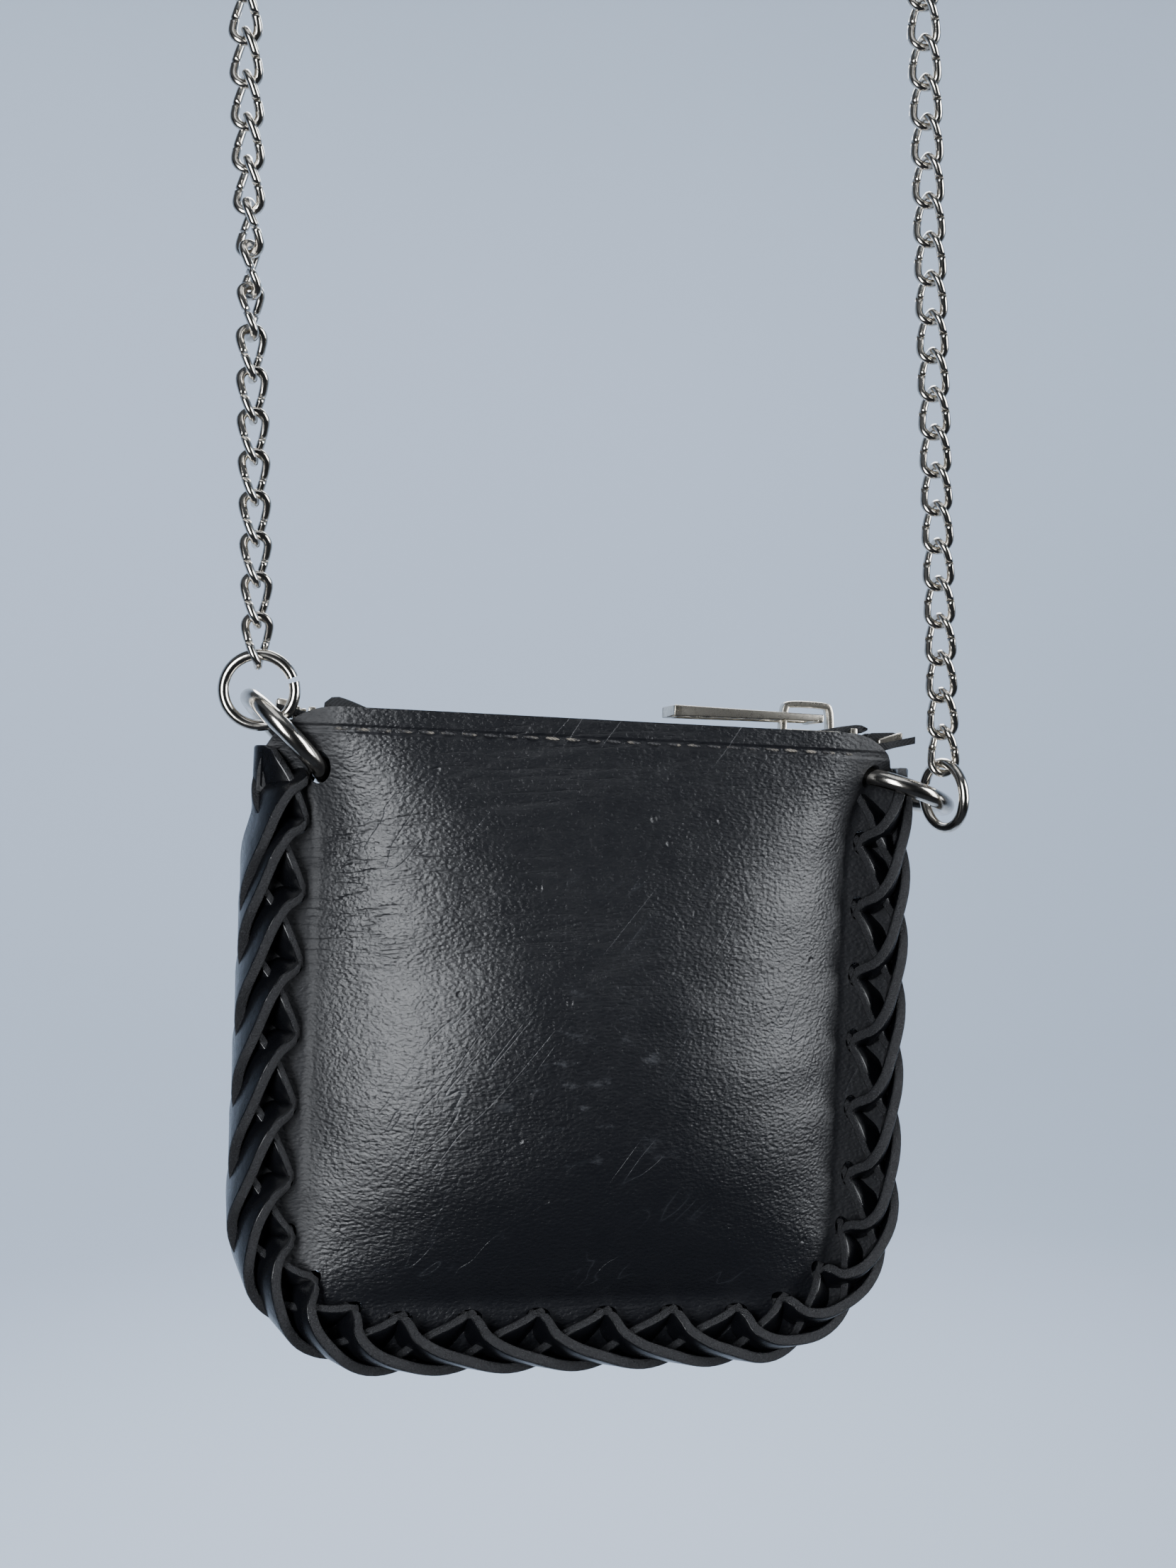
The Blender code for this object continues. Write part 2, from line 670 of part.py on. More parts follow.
def plan():
    """Where everything hangs, worked out from the rings, with the origin under the top link."""
    left = strap_ring_contact(LEFT_HOLE, LEFT_RING_ANGLE, LEFT_CONTACT)
    right = strap_ring_contact(RIGHT_HOLE, RIGHT_RING_ANGLE, RIGHT_CONTACT)
    tilt = Matrix.Rotation(POUCH_TILT, 4, "Y")
    spread = tilt @ (right - left)
    level = Matrix.Rotation(-math.atan2(spread.y, spread.x), 4, "Z") @ tilt
    turn = Matrix.Rotation(POUCH_PITCH, 4, level @ (right - left)) @ level
    to_right = turn @ (right - left)
    seat = (STRAP_RING_WIRE + JUMP_RING_WIRE) / 2 + CLEAR
    lean = Vector((math.sin(LEFT_JUMP_LEAN), 0, math.cos(LEFT_JUMP_LEAN)))
    left_ring = lean * (JUMP_RING_R - seat - LEFT_SEAT_SLACK)
    right_ring = to_right + Vector((0, 0, JUMP_RING_R - seat - RIGHT_SEAT_SLACK))
    hook = Vector((0, 0, JUMP_RING_R))
    first_link = Vector((0, 0, (JUMP_RING_WIRE + LINK_WIRE) / 2 + LINK_CLEAR))
    start = Vector((0, 0, LINK_HALF - LINK_PITCH / 2))
    left_base = left_ring + hook - first_link + start
    right_base = right_ring + hook - first_link + start
    _, _, centre, radius = strap_plan(left_base, right_base)
    origin = centre + Vector((0, 0, radius - LINK_WIDTH / 2))
    place, count, _, _ = strap_plan(left_base - origin, right_base - origin)

    def pivot(before, after):
        return (place(before).translation + place(after).translation) / 2

    last = count - 1
    return {
        "pouch": turn,
        "left_contact": -origin,
        "left_contact_in_pouch": left,
        "right_contact": to_right - origin,
        "left_ring": left_ring - origin,
        "right_ring": right_ring - origin,
        "left_hook": left_ring + hook - first_link / 2 - origin,
        "right_hook": right_ring + hook - first_link / 2 - origin,
        "swing_left": pivot(STRAND_LINKS, STRAND_LINKS + 1),
        "swing_right": pivot(last - STRAND_LINKS, last - STRAND_LINKS - 1),
        "sway_left": pivot(STRAND_LINKS - 1, STRAND_LINKS),
        "sway_right": pivot(last - STRAND_LINKS + 1, last - STRAND_LINKS),
        "place": place,
        "count": count,
    }


def main():
    for obj in list(bpy.data.objects):
        bpy.data.objects.remove(obj)
    leather = make_material("black leather", (0.012, 0.013, 0.017), 0.42, 0)
    lace_leather = make_material("lace leather", (0.010, 0.011, 0.014), 0.36, 0)
    cloth = make_material("zip cloth", (0.012, 0.012, 0.013), 0.9, 0)
    thread = make_material("black thread", (0.02, 0.02, 0.02), 0.6, 0)
    nickel = make_material("nickel", (0.60, 0.58, 0.54), 0.14, 1)
    zip_metal = make_material("zip metal", (0.55, 0.52, 0.45), 0.25, 1)

    at = plan()
    top = add_empty("strap_top", (0, 0, 0))
    carrier = add_empty("swing_axis", at["swing_left"])
    left = add_empty("left_sway_axis", at["sway_left"])
    right = add_empty("right_sway_axis", at["sway_right"])
    bpy.context.view_layer.update()
    make_chain(at["place"], at["count"], (top, carrier, left, right), nickel)
    across_left = Vector((math.cos(LEFT_JUMP_TURN), math.sin(LEFT_JUMP_TURN), 0))
    across_right = Vector((-math.sin(RIGHT_JUMP_TURN), math.cos(RIGHT_JUMP_TURN), 0))
    make_jump_ring("jump_ring_left", at["left_ring"], across_left, at["left_hook"], nickel)
    make_jump_ring("jump_ring_right", at["right_ring"], across_right, at["right_hook"], nickel)

    hang = add_empty("pouch_swing_axis", at["left_contact"])
    pouch = add_empty("pouch_frame", (0, 0, 0), hang)
    turn = at["pouch"]
    pouch.matrix_basis = Matrix.Translation(-(turn @ at["left_contact_in_pouch"])) @ turn
    make_panels(pouch, leather)
    make_lace(pouch, lace_leather)
    make_tapes(pouch, cloth)
    make_rows(pouch, zip_metal)
    make_slider(pouch, zip_metal)
    make_pull(pouch, zip_metal)
    make_threads(pouch, thread)
    make_strap_rings(pouch, nickel)
    bpy.context.view_layer.update()


if __name__ == "__main__":
    main()
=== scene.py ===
"""Chain wallet: the looks of a laced black leather zip pouch on a curb chain strap.

The file is laid out as an add-on: each group of pieces has its own operator, and its sizes and
colours are properties of the scene. Lengths are in metres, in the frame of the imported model.
"""

import json
import math

import bmesh
import bpy
from mathutils import Matrix, Vector, noise


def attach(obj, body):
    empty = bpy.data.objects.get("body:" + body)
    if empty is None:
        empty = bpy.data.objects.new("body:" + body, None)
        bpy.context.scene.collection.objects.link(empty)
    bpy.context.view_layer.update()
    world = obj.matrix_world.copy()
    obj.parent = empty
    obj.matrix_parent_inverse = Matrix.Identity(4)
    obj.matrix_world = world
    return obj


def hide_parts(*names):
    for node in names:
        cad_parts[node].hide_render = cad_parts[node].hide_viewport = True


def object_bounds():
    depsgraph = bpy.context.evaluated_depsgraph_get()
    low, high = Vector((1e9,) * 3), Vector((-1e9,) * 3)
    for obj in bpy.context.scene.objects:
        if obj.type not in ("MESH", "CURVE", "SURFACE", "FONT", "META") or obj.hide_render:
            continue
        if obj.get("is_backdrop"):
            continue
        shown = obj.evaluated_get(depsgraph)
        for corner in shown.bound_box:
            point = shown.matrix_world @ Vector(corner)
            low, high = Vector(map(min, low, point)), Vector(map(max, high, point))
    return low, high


bl_info = {
    "name": "Chain Wallet",
    "version": (1, 0, 0),
    "blender": (4, 5, 0),
    "location": "View3D > Sidebar > Wallet",
    "description": "Builds the leather, lacing, zip, rings and chain of a laced chain wallet",
    "category": "Add Mesh",
}

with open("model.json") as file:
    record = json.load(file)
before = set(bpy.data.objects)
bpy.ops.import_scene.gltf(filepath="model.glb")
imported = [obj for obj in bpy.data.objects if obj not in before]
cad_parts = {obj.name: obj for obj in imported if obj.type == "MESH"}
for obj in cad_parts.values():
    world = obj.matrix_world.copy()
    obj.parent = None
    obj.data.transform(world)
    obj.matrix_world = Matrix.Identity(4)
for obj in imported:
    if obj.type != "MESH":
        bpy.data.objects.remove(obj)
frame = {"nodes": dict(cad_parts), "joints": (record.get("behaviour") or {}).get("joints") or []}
JOINTS = {joint["name"]: joint for joint in frame["joints"]}
MM = 0.001

# --- the pouch's own frame: x along the zip, y out of its back, z up from the mouth ---
LEFT_HOLE = (-0.0444, -0.0107)
RIGHT_HOLE = (0.0474, -0.0067)
LEFT_RING_ANGLE = math.radians(135.8)
RIGHT_RING_ANGLE = math.radians(-17.2)
LEFT_RING = (LEFT_HOLE, LEFT_RING_ANGLE)
RIGHT_RING = (RIGHT_HOLE, RIGHT_RING_ANGLE)
ALONG = -Vector(JOINTS["zip_slide"]["axis"]).normalized()
BACK = Vector(JOINTS["left_strap_ring_turn"]["axis"]).normalized()
RISE = ALONG.cross(BACK)
LEFT_RING_POINT = Vector(JOINTS["left_strap_ring_turn"]["pos_m"])
MOUTH_POINT = LEFT_RING_POINT - ALONG * LEFT_HOLE[0] - RISE * LEFT_HOLE[1]
POUCH = Matrix.Translation(MOUTH_POINT) @ Matrix((ALONG, BACK, RISE)).transposed().to_4x4()

# --- fixed shape of the leather, as cut ---
TOP_CORNER_R = 0.0120
BOTTOM_CORNER_R = 0.0260
RIM_GAP = 0.00025
RIM_WIDTH = 0.0100
DOME_LEVEL = 0.0560
FLARE = 0.0110
FLARE_START = 0.0250
FLARE_END = 0.0030
BACK_FLAT = 0.0090
LACE_INSET = 0.0072
FIRST_HOLE = 0.0184
ZIP_LEVEL = -0.0020
ROW_HEIGHT = 0.0024
LACE_SLOT_R = 0.0013
RING_HOLE_R = 0.0021
OVER_SHARE = 0.88
UNDER_SHARE = 0.72
SLIDER_HALF = 0.0035
SEAT_SLACK = 0.00009


class WalletSizes(bpy.types.PropertyGroup):
    half_width: bpy.props.FloatProperty(
        name="Half width", description="Half the leather's width", default=0.055, unit="LENGTH")
    height: bpy.props.FloatProperty(
        name="Height", description="The leather's height", default=0.1055, unit="LENGTH")
    leather: bpy.props.FloatProperty(
        name="Leather", description="Thickness of the leather", default=0.0020, unit="LENGTH")
    dome: bpy.props.FloatProperty(
        name="Dome", description="How far each panel bulges", default=0.0110, unit="LENGTH")
    mouth: bpy.props.FloatProperty(
        name="Mouth", description="Half the mouth's depth", default=0.0069, unit="LENGTH")
    lace_width: bpy.props.FloatProperty(
        name="Lace width", description="Width of the lacing strip", default=0.0074, unit="LENGTH")
    lace_thickness: bpy.props.FloatProperty(
        name="Lace thickness", description="Thickness of the lacing strip",
        default=0.0021, unit="LENGTH")
    lace_holes: bpy.props.IntProperty(
        name="Lacing holes", description="Holes along the edge of each panel", default=24)
    stitch_drop: bpy.props.FloatProperty(
        name="Seam", description="The seam's distance below the mouth's edge",
        default=0.0035, unit="LENGTH")
    stitch_pitch: bpy.props.FloatProperty(
        name="Stitch pitch", description="From stitch to stitch", default=0.0034, unit="LENGTH")
    tooth_pitch: bpy.props.FloatProperty(
        name="Tooth pitch", description="From tooth to tooth along one row",
        default=0.0025, unit="LENGTH")


class ChainSizes(bpy.types.PropertyGroup):
    pitch: bpy.props.FloatProperty(
        name="Pitch", description="From link to link", default=0.00635, unit="LENGTH")
    wire: bpy.props.FloatProperty(
        name="Wire", description="Thickness of a link's wire", default=0.0014, unit="LENGTH")
    width: bpy.props.FloatProperty(
        name="Width", description="Width of a link before its twist", default=0.0055, unit="LENGTH")
    strap_ring: bpy.props.FloatProperty(
        name="Strap ring", description="Middle radius of a strap ring",
        default=0.0085, unit="LENGTH")
    strap_ring_wire: bpy.props.FloatProperty(
        name="Strap ring wire", description="Thickness of a strap ring",
        default=0.0030, unit="LENGTH")
    jump_ring: bpy.props.FloatProperty(
        name="Jump ring", description="Middle radius of a jump ring", default=0.0056, unit="LENGTH")
    jump_ring_wire: bpy.props.FloatProperty(
        name="Jump ring wire", description="Thickness of a jump ring",
        default=0.0018, unit="LENGTH")


class WalletColours(bpy.types.PropertyGroup):
    leather: bpy.props.FloatVectorProperty(
        name="Leather", description="Dyed leather",
        subtype="COLOR", default=(0.0042, 0.0046, 0.0062))
    raw_edge: bpy.props.FloatVectorProperty(
        name="Cut edge", description="The lace's cut edge",
        subtype="COLOR", default=(0.0125, 0.013, 0.0145))
    nickel: bpy.props.FloatVectorProperty(
        name="Nickel", description="Rings and chain", subtype="COLOR", default=(0.62, 0.59, 0.54))
    zip_metal: bpy.props.FloatVectorProperty(
        name="Zip metal", description="Slider, pull and teeth",
        subtype="COLOR", default=(0.66, 0.62, 0.54))
    cloth: bpy.props.FloatVectorProperty(
        name="Tape", description="Zip tape", subtype="COLOR", default=(0.010, 0.011, 0.013))
    # The thread's tan is the colour of its painted glints
    thread: bpy.props.FloatVectorProperty(
        name="Thread", description="Seam thread", subtype="COLOR", default=(0.20, 0.18, 0.15))
    wall: bpy.props.FloatVectorProperty(
        name="Studio", description="Floor and wall", subtype="COLOR", default=(0.46, 0.52, 0.61))


# --- small helpers ---


def clamp01(t):
    return min(1.0, max(0.0, t))


def smooth(t):
    t = clamp01(t)
    return t * t * (3 - 2 * t)


def mix(a, b, t):
    return a + (b - a) * t


def clear_selection():
    bpy.ops.object.select_all(action="DESELECT")


def active(name):
    obj = bpy.context.active_object
    obj.name = name
    obj.data.name = name
    return obj


def choose(*objs):
    clear_selection()
    for obj in objs:
        obj.select_set(True)
    bpy.context.view_layer.objects.active = objs[0]


def apply_modifiers(obj):
    choose(obj)
    for modifier in list(obj.modifiers):
        bpy.ops.object.modifier_apply(modifier=modifier.name)


def join(name, objs):
    choose(*objs)
    bpy.ops.object.join()
    return active(name)


def remap(obj, place):
    """Put each vertex where a function of its place says."""
    for vertex in obj.data.vertices:
        vertex.co = place(vertex.co)


def settle(obj, matrix, material, body, slot, *nodes):
    """Finish a piece: its place in its mesh, its material, its body and what it stands for."""
    obj.data.transform(matrix)
    obj.data.materials.clear()
    obj.data.materials.append(material)
    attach(obj, body)
    if nodes:
        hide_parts(*nodes)
    return obj


def smooth_by_angle(obj, degrees=40):
    choose(obj)
    bpy.ops.object.shade_smooth_by_angle(angle=math.radians(degrees))


def make_object(name, points, faces):
    mesh = bpy.data.meshes.new(name)
    mesh.from_pydata(points, [], faces)
    mesh.update()
    obj = bpy.data.objects.new(name, mesh)
    bpy.context.scene.collection.objects.link(obj)
    choose(obj)
    bpy.ops.object.mode_set(mode="EDIT")
    bpy.ops.mesh.select_all(action="SELECT")
    bpy.ops.mesh.normals_make_consistent(inside=False)
    bpy.ops.object.mode_set(mode="OBJECT")
    return obj


def spline(stops, t):
    """A smooth curve through rows of numbers, each row starting with its own t."""
    for k in range(len(stops) - 1):
        if t <= stops[k + 1][0] or k == len(stops) - 2:
            break
    before = stops[max(k - 1, 0)]
    low, high = stops[k], stops[k + 1]
    after = stops[min(k + 2, len(stops) - 1)]
    span = high[0] - low[0]
    u = (t - low[0]) / span
    values = []
    for i in range(1, len(low)):
        start = (high[i] - before[i]) / max(high[0] - before[0], 1e-9) * span
        end = (after[i] - low[i]) / max(after[0] - low[0], 1e-9) * span
        cubic = (2 * u**3 - 3 * u**2 + 1) * low[i] + (u**3 - 2 * u**2 + u) * start
        cubic += (3 * u**2 - 2 * u**3) * high[i] + (u**3 - u**2) * end
        values.append(cubic)
    return values


# --- shader expressions ---


class Tint:
    """A node tree being written: calls add nodes, and numbers on sockets are expressions."""

    def __init__(self, name):
        self.material = bpy.data.materials.new(name)
        self.material.use_nodes = True
        self.tree = self.material.node_tree
        self.shader = self.tree.nodes["Principled BSDF"]

    def node(self, kind, settings=None, **values):
        made = self.tree.nodes.new("ShaderNode" + kind)
        for key, value in (settings or {}).items():
            setattr(made, key, value)
        for key, value in values.items():
            self.put(made.inputs[key], value)
        return made

    def put(self, socket, value):
        if isinstance(value, Wire):
            self.tree.links.new(value.socket, socket)
        elif isinstance(value, bpy.types.NodeSocket):
            self.tree.links.new(value, socket)
        else:
            socket.default_value = value

    def number(self, socket):
        return Wire(self, socket)

    def set(self, name, value):
        self.put(self.shader.inputs[name], value)

    def mapped(self, place=(0, 0, 0), turn=(0, 0, 0), scale=(1, 1, 1)):
        """Object coordinates seen from a place, then turned and scaled for a pattern."""
        source = self.node("TexCoord").outputs["Object"]
        made = self.node("Mapping", {"vector_type": "TEXTURE"}, Location=place, Rotation=turn)
        self.put(made.inputs["Vector"], source)
        scaled = self.node("Mapping", Scale=scale)
        self.put(scaled.inputs["Vector"], made.outputs["Vector"])
        return scaled.outputs["Vector"]

    def noise(self, vector, scale, detail=3.0, roughness=0.5):
        made = self.node("TexNoise", Vector=vector, Scale=scale, Detail=detail, Roughness=roughness)
        return self.number(made.outputs["Fac"])

    def cells(self, vector, scale, feature="F1"):
        made = self.node("TexVoronoi", {"feature": feature}, Vector=vector, Scale=scale)
        return self.number(made.outputs["Distance"])

    def blend(self, low, high, share):
        made = self.node("Mix", {"data_type": "RGBA"}, Factor=share)
        self.put(made.inputs[6], low)
        self.put(made.inputs[7], high)
        return made.outputs[2]

    def bump(self, height, distance, strength=1.0, normal=None):
        made = self.node("Bump", Height=height, Distance=distance, Strength=strength)
        if normal is not None:
            self.put(made.inputs["Normal"], normal)
        return made.outputs["Normal"]


class Wire:
    """A number on a socket. Operators on it add Math nodes."""

    def __init__(self, tint, socket):
        self.tint = tint
        self.socket = socket

    def math(self, operation, other=None, swap=False):
        values = [self, other] if not swap else [other, self]
        made = self.tint.node("Math", {"operation": operation})
        for index, value in enumerate(values):
            if value is not None:
                self.tint.put(made.inputs[index], value)
        return Wire(self.tint, made.outputs[0])

    def __add__(self, other):
        return self.math("ADD", other)

    __radd__ = __add__

    def __mul__(self, other):
        return self.math("MULTIPLY", other)

    __rmul__ = __mul__

    def __sub__(self, other):
        return self.math("SUBTRACT", other)

    def __rsub__(self, other):
        return self.math("SUBTRACT", other, True)

    def __pow__(self, other):
        return self.math("POWER", other)

    def __abs__(self):
        return self.math("ABSOLUTE")

    def above(self, low, high):
        """0 below low, 1 above high, and a smooth step between."""
        made = self.tint.node("MapRange", {"interpolation_type": "SMOOTHSTEP"})
        for name, value in (("Value", self), ("From Min", low), ("From Max", high)):
            self.tint.put(made.inputs[name], value)
        return Wire(self.tint, made.outputs["Result"])


def rgba(colour):
    return (*colour, 1.0)


def colours():
    return bpy.context.scene.wallet_colours


# --- materials ---


def axis_of(tint, vector, axis):
    return tint.number(tint.node("SeparateXYZ", Vector=vector).outputs[axis])


def leather_material(name):
    """Glazed black cowhide: fine drawn-out pebbles, creases, pits, scratches and scuffs."""
    tint = Tint(name)
    turn = POUCH.to_euler()
    place = tuple(POUCH.translation)
    at = tint.mapped(place, turn, (1000, 1000, 1000))
    drawn = tint.mapped(place, turn, (620, 1000, 1000))
    creased = tint.mapped(place, (turn.x, turn.y - 0.10, turn.z), (70, 300, 620))
    x, z = axis_of(tint, at, "X"), axis_of(tint, at, "Z")

    pebbles = tint.cells(drawn, 2.1, "SMOOTH_F1")
    fine = tint.noise(drawn, 3.4, 4.0, 0.6)
    sway = tint.noise(at, 0.045, 2.0)
    crease = tint.noise(creased, 0.62, 3.0, 0.55)
    lines = (1 - abs(crease * 2 - 1)) ** 9
    upper = z.above(-62, -12) * 0.8 + 0.2
    toward_left = 1 - x.above(-5, 40) * 0.75
    lines = lines * upper * toward_left * sway.above(0.38, 0.58)
    pits = 1 - tint.cells(at, 0.115).above(0.03, 0.085)
    scratched = tint.mapped(place, (turn.x, turn.y + 0.65, turn.z), (300, 300, 22))
    scratches = (1 - abs(tint.noise(scratched, 0.9, 1.0) * 2 - 1)) ** 60
    scratches = scratches * tint.noise(at, 0.06, 1.0).above(0.52, 0.66)
    rubbed = tint.mapped(place, turn, (700, 1000, 1600))
    scuffs = tint.noise(rubbed, 0.22, 5.0, 0.7).above(0.56, 0.72)
    middle = (1 - abs(x + 2).above(4, 26)) * (1 - abs(z + 58).above(6, 24))
    scuffs = scuffs * middle
    seam = 1 - abs(z + bpy.context.scene.wallet_sizes.stitch_drop / MM).above(0.25, 0.85)

    height = pebbles * 0.75 + fine * 0.6 - lines * 0.9 - pits * 0.7 - scratches * 0.3 - seam * 1.6
    swell = tint.bump(tint.noise(at, 0.055, 2.0), 0.0016, 0.32)
    tint.set("Normal", tint.bump(height, 0.00018, 0.75, swell))
    base = tint.blend(rgba(colours().leather), (0.008, 0.0085, 0.0105, 1), fine * 0.6)
    wear_and_painted_glints = scuffs * 0.7 + scratches * 0.5
    tint.set("Base Color", tint.blend(base, (0.024, 0.026, 0.031, 1), wear_and_painted_glints))
    margin = abs(x).above(40, 46)
    glaze = 0.235 + tint.noise(at, 0.30, 4.0) * 0.10 + pebbles * 0.05
    rough = glaze + scuffs * 0.16 + lines * 0.1 + margin * 0.28
    tint.set("Roughness", rough)
    tint.set("Specular IOR Level", 0.46)
    return tint.material


def lace_material():
    """Smooth glazed strap leather; its cut edges are fibrous and a little lighter."""
    tint = Tint("lace leather")
    at = tint.mapped(scale=(1000, 1000, 1000))
    marked = tint.node("Attribute", {"attribute_name": "cut"})
    cut = tint.number(marked.outputs["Fac"]).above(0.55, 0.95)
    fibres = tint.noise(at, 3.1, 5.0, 0.75)
    pores = tint.cells(at, 2.2).above(0.12, 0.45)
    glaze = tint.noise(at, 0.35, 3.0)
    raw = fibres.above(0.36, 0.66) * pores
    fibre = rgba([c * 2.3 for c in colours().raw_edge])
    cut_colour = tint.blend((0.008, 0.008, 0.010, 1), fibre, raw)
    tint.set("Base Color", tint.blend(rgba([c * 0.55 for c in colours().leather]), cut_colour, cut))
    tint.set("Roughness", 0.20 + glaze * 0.16 + cut * 0.40)
    rough_height = raw * cut * 1.0 + fibres * 0.10
    wave = tint.bump(glaze, 0.0006, 0.25)
    tint.set("Normal", tint.bump(rough_height, 0.00025, 0.8, wave))
    tint.set("Specular IOR Level", 0.42)
    return tint.material


def metal_material(name, colour, base, spread):
    """Nickel plate: bright, with faint mill lines, handling marks and darker plating in places."""
    tint = Tint(name)
    at = tint.mapped(scale=(1000, 1000, 1000))
    marks = tint.noise(at, 0.9, 5.0, 0.65)
    fine = tint.noise(at, 7.0, 3.0, 0.6)
    darker = rgba([c * 0.72 for c in colour])
    tint.set("Base Color", tint.blend(rgba(colour), darker, marks.above(0.45, 0.75)))
    tint.set("Metallic", 1.0)
    tint.set("Roughness", base + marks * spread + fine * spread * 0.4)
    tint.set("Normal", tint.bump(marks * 0.7 + fine * 0.3, 0.00006, 0.35))
    return tint.material


def cloth_material():
    """Zip tape: a herringbone weave with a fluffy face."""
    tint = Tint("zip cloth")
    at = tint.mapped(tuple(POUCH.translation), POUCH.to_euler(), (1000, 1000, 1000))
    x, z, y = axis_of(tint, at, "X"), axis_of(tint, at, "Z"), axis_of(tint, at, "Y")
    slant = abs(((y + z) * 1.0).math("PINGPONG", 1.6))
    weave = ((x + slant) * 9.0).math("SINE") * 0.5 + 0.5
    threads = ((y + z) * 12.0).math("SINE") * 0.5 + 0.5
    fluff = tint.noise(at, 4.0, 5.0, 0.8)
    lint = (0.03, 0.031, 0.035, 1)
    tint.set("Base Color", tint.blend(rgba(colours().cloth), lint, weave * fluff))
    tint.set("Roughness", 0.82 + fluff * 0.15)
    tint.set("Normal", tint.bump(weave * 0.5 + threads * 0.3 + fluff * 0.8, 0.0003, 0.8))
    return tint.material


def thread_material():
    """Twisted thread: dark, with painted glints: tan patches along the twist, painted into its
    colour where the fibres would catch the light.
    """
    tint = Tint("seam thread")
    at = tint.mapped(tuple(POUCH.translation), POUCH.to_euler(), (1000, 1000, 1000))
    x, z = axis_of(tint, at, "X"), axis_of(tint, at, "Z")
    twist = ((x + z * 1.5) * 10.0).math("SINE") * 0.5 + 0.5
    wear_and_painted_glints = tint.noise(at, 0.5, 3.0).above(0.42, 0.62)
    # Painted highlight: the tan share, strongest on the twist's crests, stands in for glints of
    # light on the thread
    share = wear_and_painted_glints * (0.4 + twist * 0.6)
    tint.set("Base Color", tint.blend((0.018, 0.018, 0.02, 1), rgba(colours().thread), share))
    tint.set("Roughness", 0.55 + twist * 0.2)
    tint.set("Normal", tint.bump(twist, 0.00008, 0.8))
    return tint.material


def studio_material():
    tint = Tint("studio paper")
    at = tint.mapped(scale=(1, 1, 1))
    cloud = tint.noise(at, 1.3, 2.0)
    wall = tint.blend(rgba(colours().wall), rgba([c * 0.93 for c in colours().wall]), cloud)
    # Painted shade: the floor and wall in front of the object, on the camera's side, are painted
    # near-black in place of the pale studio colour. They stand in for an unlit room that the
    # leather and nickel reflect
    outside_painted_shade = axis_of(tint, at, "Y").above(-0.02, 0.12)
    tint.set("Base Color", tint.blend((0.022, 0.024, 0.028, 1), wall, outside_painted_shade))
    tint.set("Roughness", 0.9 + cloud * 0.05)
    tint.set("Specular IOR Level", 0.1)
    return tint.material


# --- the leather's shape ---


def hollow_depth(z):
    sizes = bpy.context.scene.wallet_sizes
    if z > -DOME_LEVEL:
        return sizes.mouth + (sizes.dome - sizes.mouth) * smooth(-z / DOME_LEVEL)
    down = clamp01((-z - DOME_LEVEL) / (sizes.height - RIM_WIDTH - DOME_LEVEL))
    return sizes.dome * (1 - down**2.2) ** 0.9


def half_gap(x, z):
    flare = clamp01((z + FLARE_START) / (FLARE_START - FLARE_END)) ** 3
    reach = bpy.context.scene.wallet_sizes.half_width - RIM_WIDTH + FLARE * flare
    square = 2.6 + 4.4 * clamp01((z + 0.048) / 0.040) ** 2
    share = 1 - clamp01(abs(x) / reach) ** square
    return RIM_GAP + hollow_depth(z) * share


def back_gap(x, z):
    return min(half_gap(x, z), BACK_FLAT)


def edge_lengths():
    sizes = bpy.context.scene.wallet_sizes
    straight = sizes.height - BOTTOM_CORNER_R
    arc = BOTTOM_CORNER_R * math.pi / 2
    return straight, arc, 2 * (straight + arc + sizes.half_width - BOTTOM_CORNER_R)


def edge_point(s):
    """A point on the left, bottom and right edge, and the way in from it."""
    sizes = bpy.context.scene.wallet_sizes
    straight, arc, total = edge_lengths()
    if s > total / 2:
        point, inward = edge_point(total - s)
        return (-point[0], point[1]), (-inward[0], inward[1])
    if s < straight:
        return (-sizes.half_width, -s), (1, 0)
    turn = (s - straight) / BOTTOM_CORNER_R
    centre = (BOTTOM_CORNER_R - sizes.half_width, BOTTOM_CORNER_R - sizes.height)
    if turn < math.pi / 2:
        inward = (math.cos(turn), math.sin(turn))
        return tuple(c - BOTTOM_CORNER_R * i for c, i in zip(centre, inward)), inward
    return (centre[0] + s - straight - arc, -sizes.height), (0, 1)


def hole_places():
    count = bpy.context.scene.wallet_sizes.lace_holes
    step = (edge_lengths()[2] - 2 * FIRST_HOLE) / (count - 1)
    return [FIRST_HOLE + step * k for k in range(count)], step


def panel_row(share):
    """The height and half width of a row of the panel, from the bottom edge to the mouth."""
    sizes = bpy.context.scene.wallet_sizes
    low, high = 0.24, 0.86
    if share < low:
        a = share / low * math.pi / 2
        flat = sizes.half_width - BOTTOM_CORNER_R
        level = BOTTOM_CORNER_R * (1 - math.cos(a)) - sizes.height
        return level, flat + BOTTOM_CORNER_R * math.sin(a)
    if share < high:
        t = (share - low) / (high - low)
        return mix(BOTTOM_CORNER_R - sizes.height, -TOP_CORNER_R, t), sizes.half_width
    a = (share - high) / (1 - high) * math.pi / 2
    flat = sizes.half_width - TOP_CORNER_R
    return TOP_CORNER_R * (math.sin(a) - 1), flat + TOP_CORNER_R * math.cos(a)


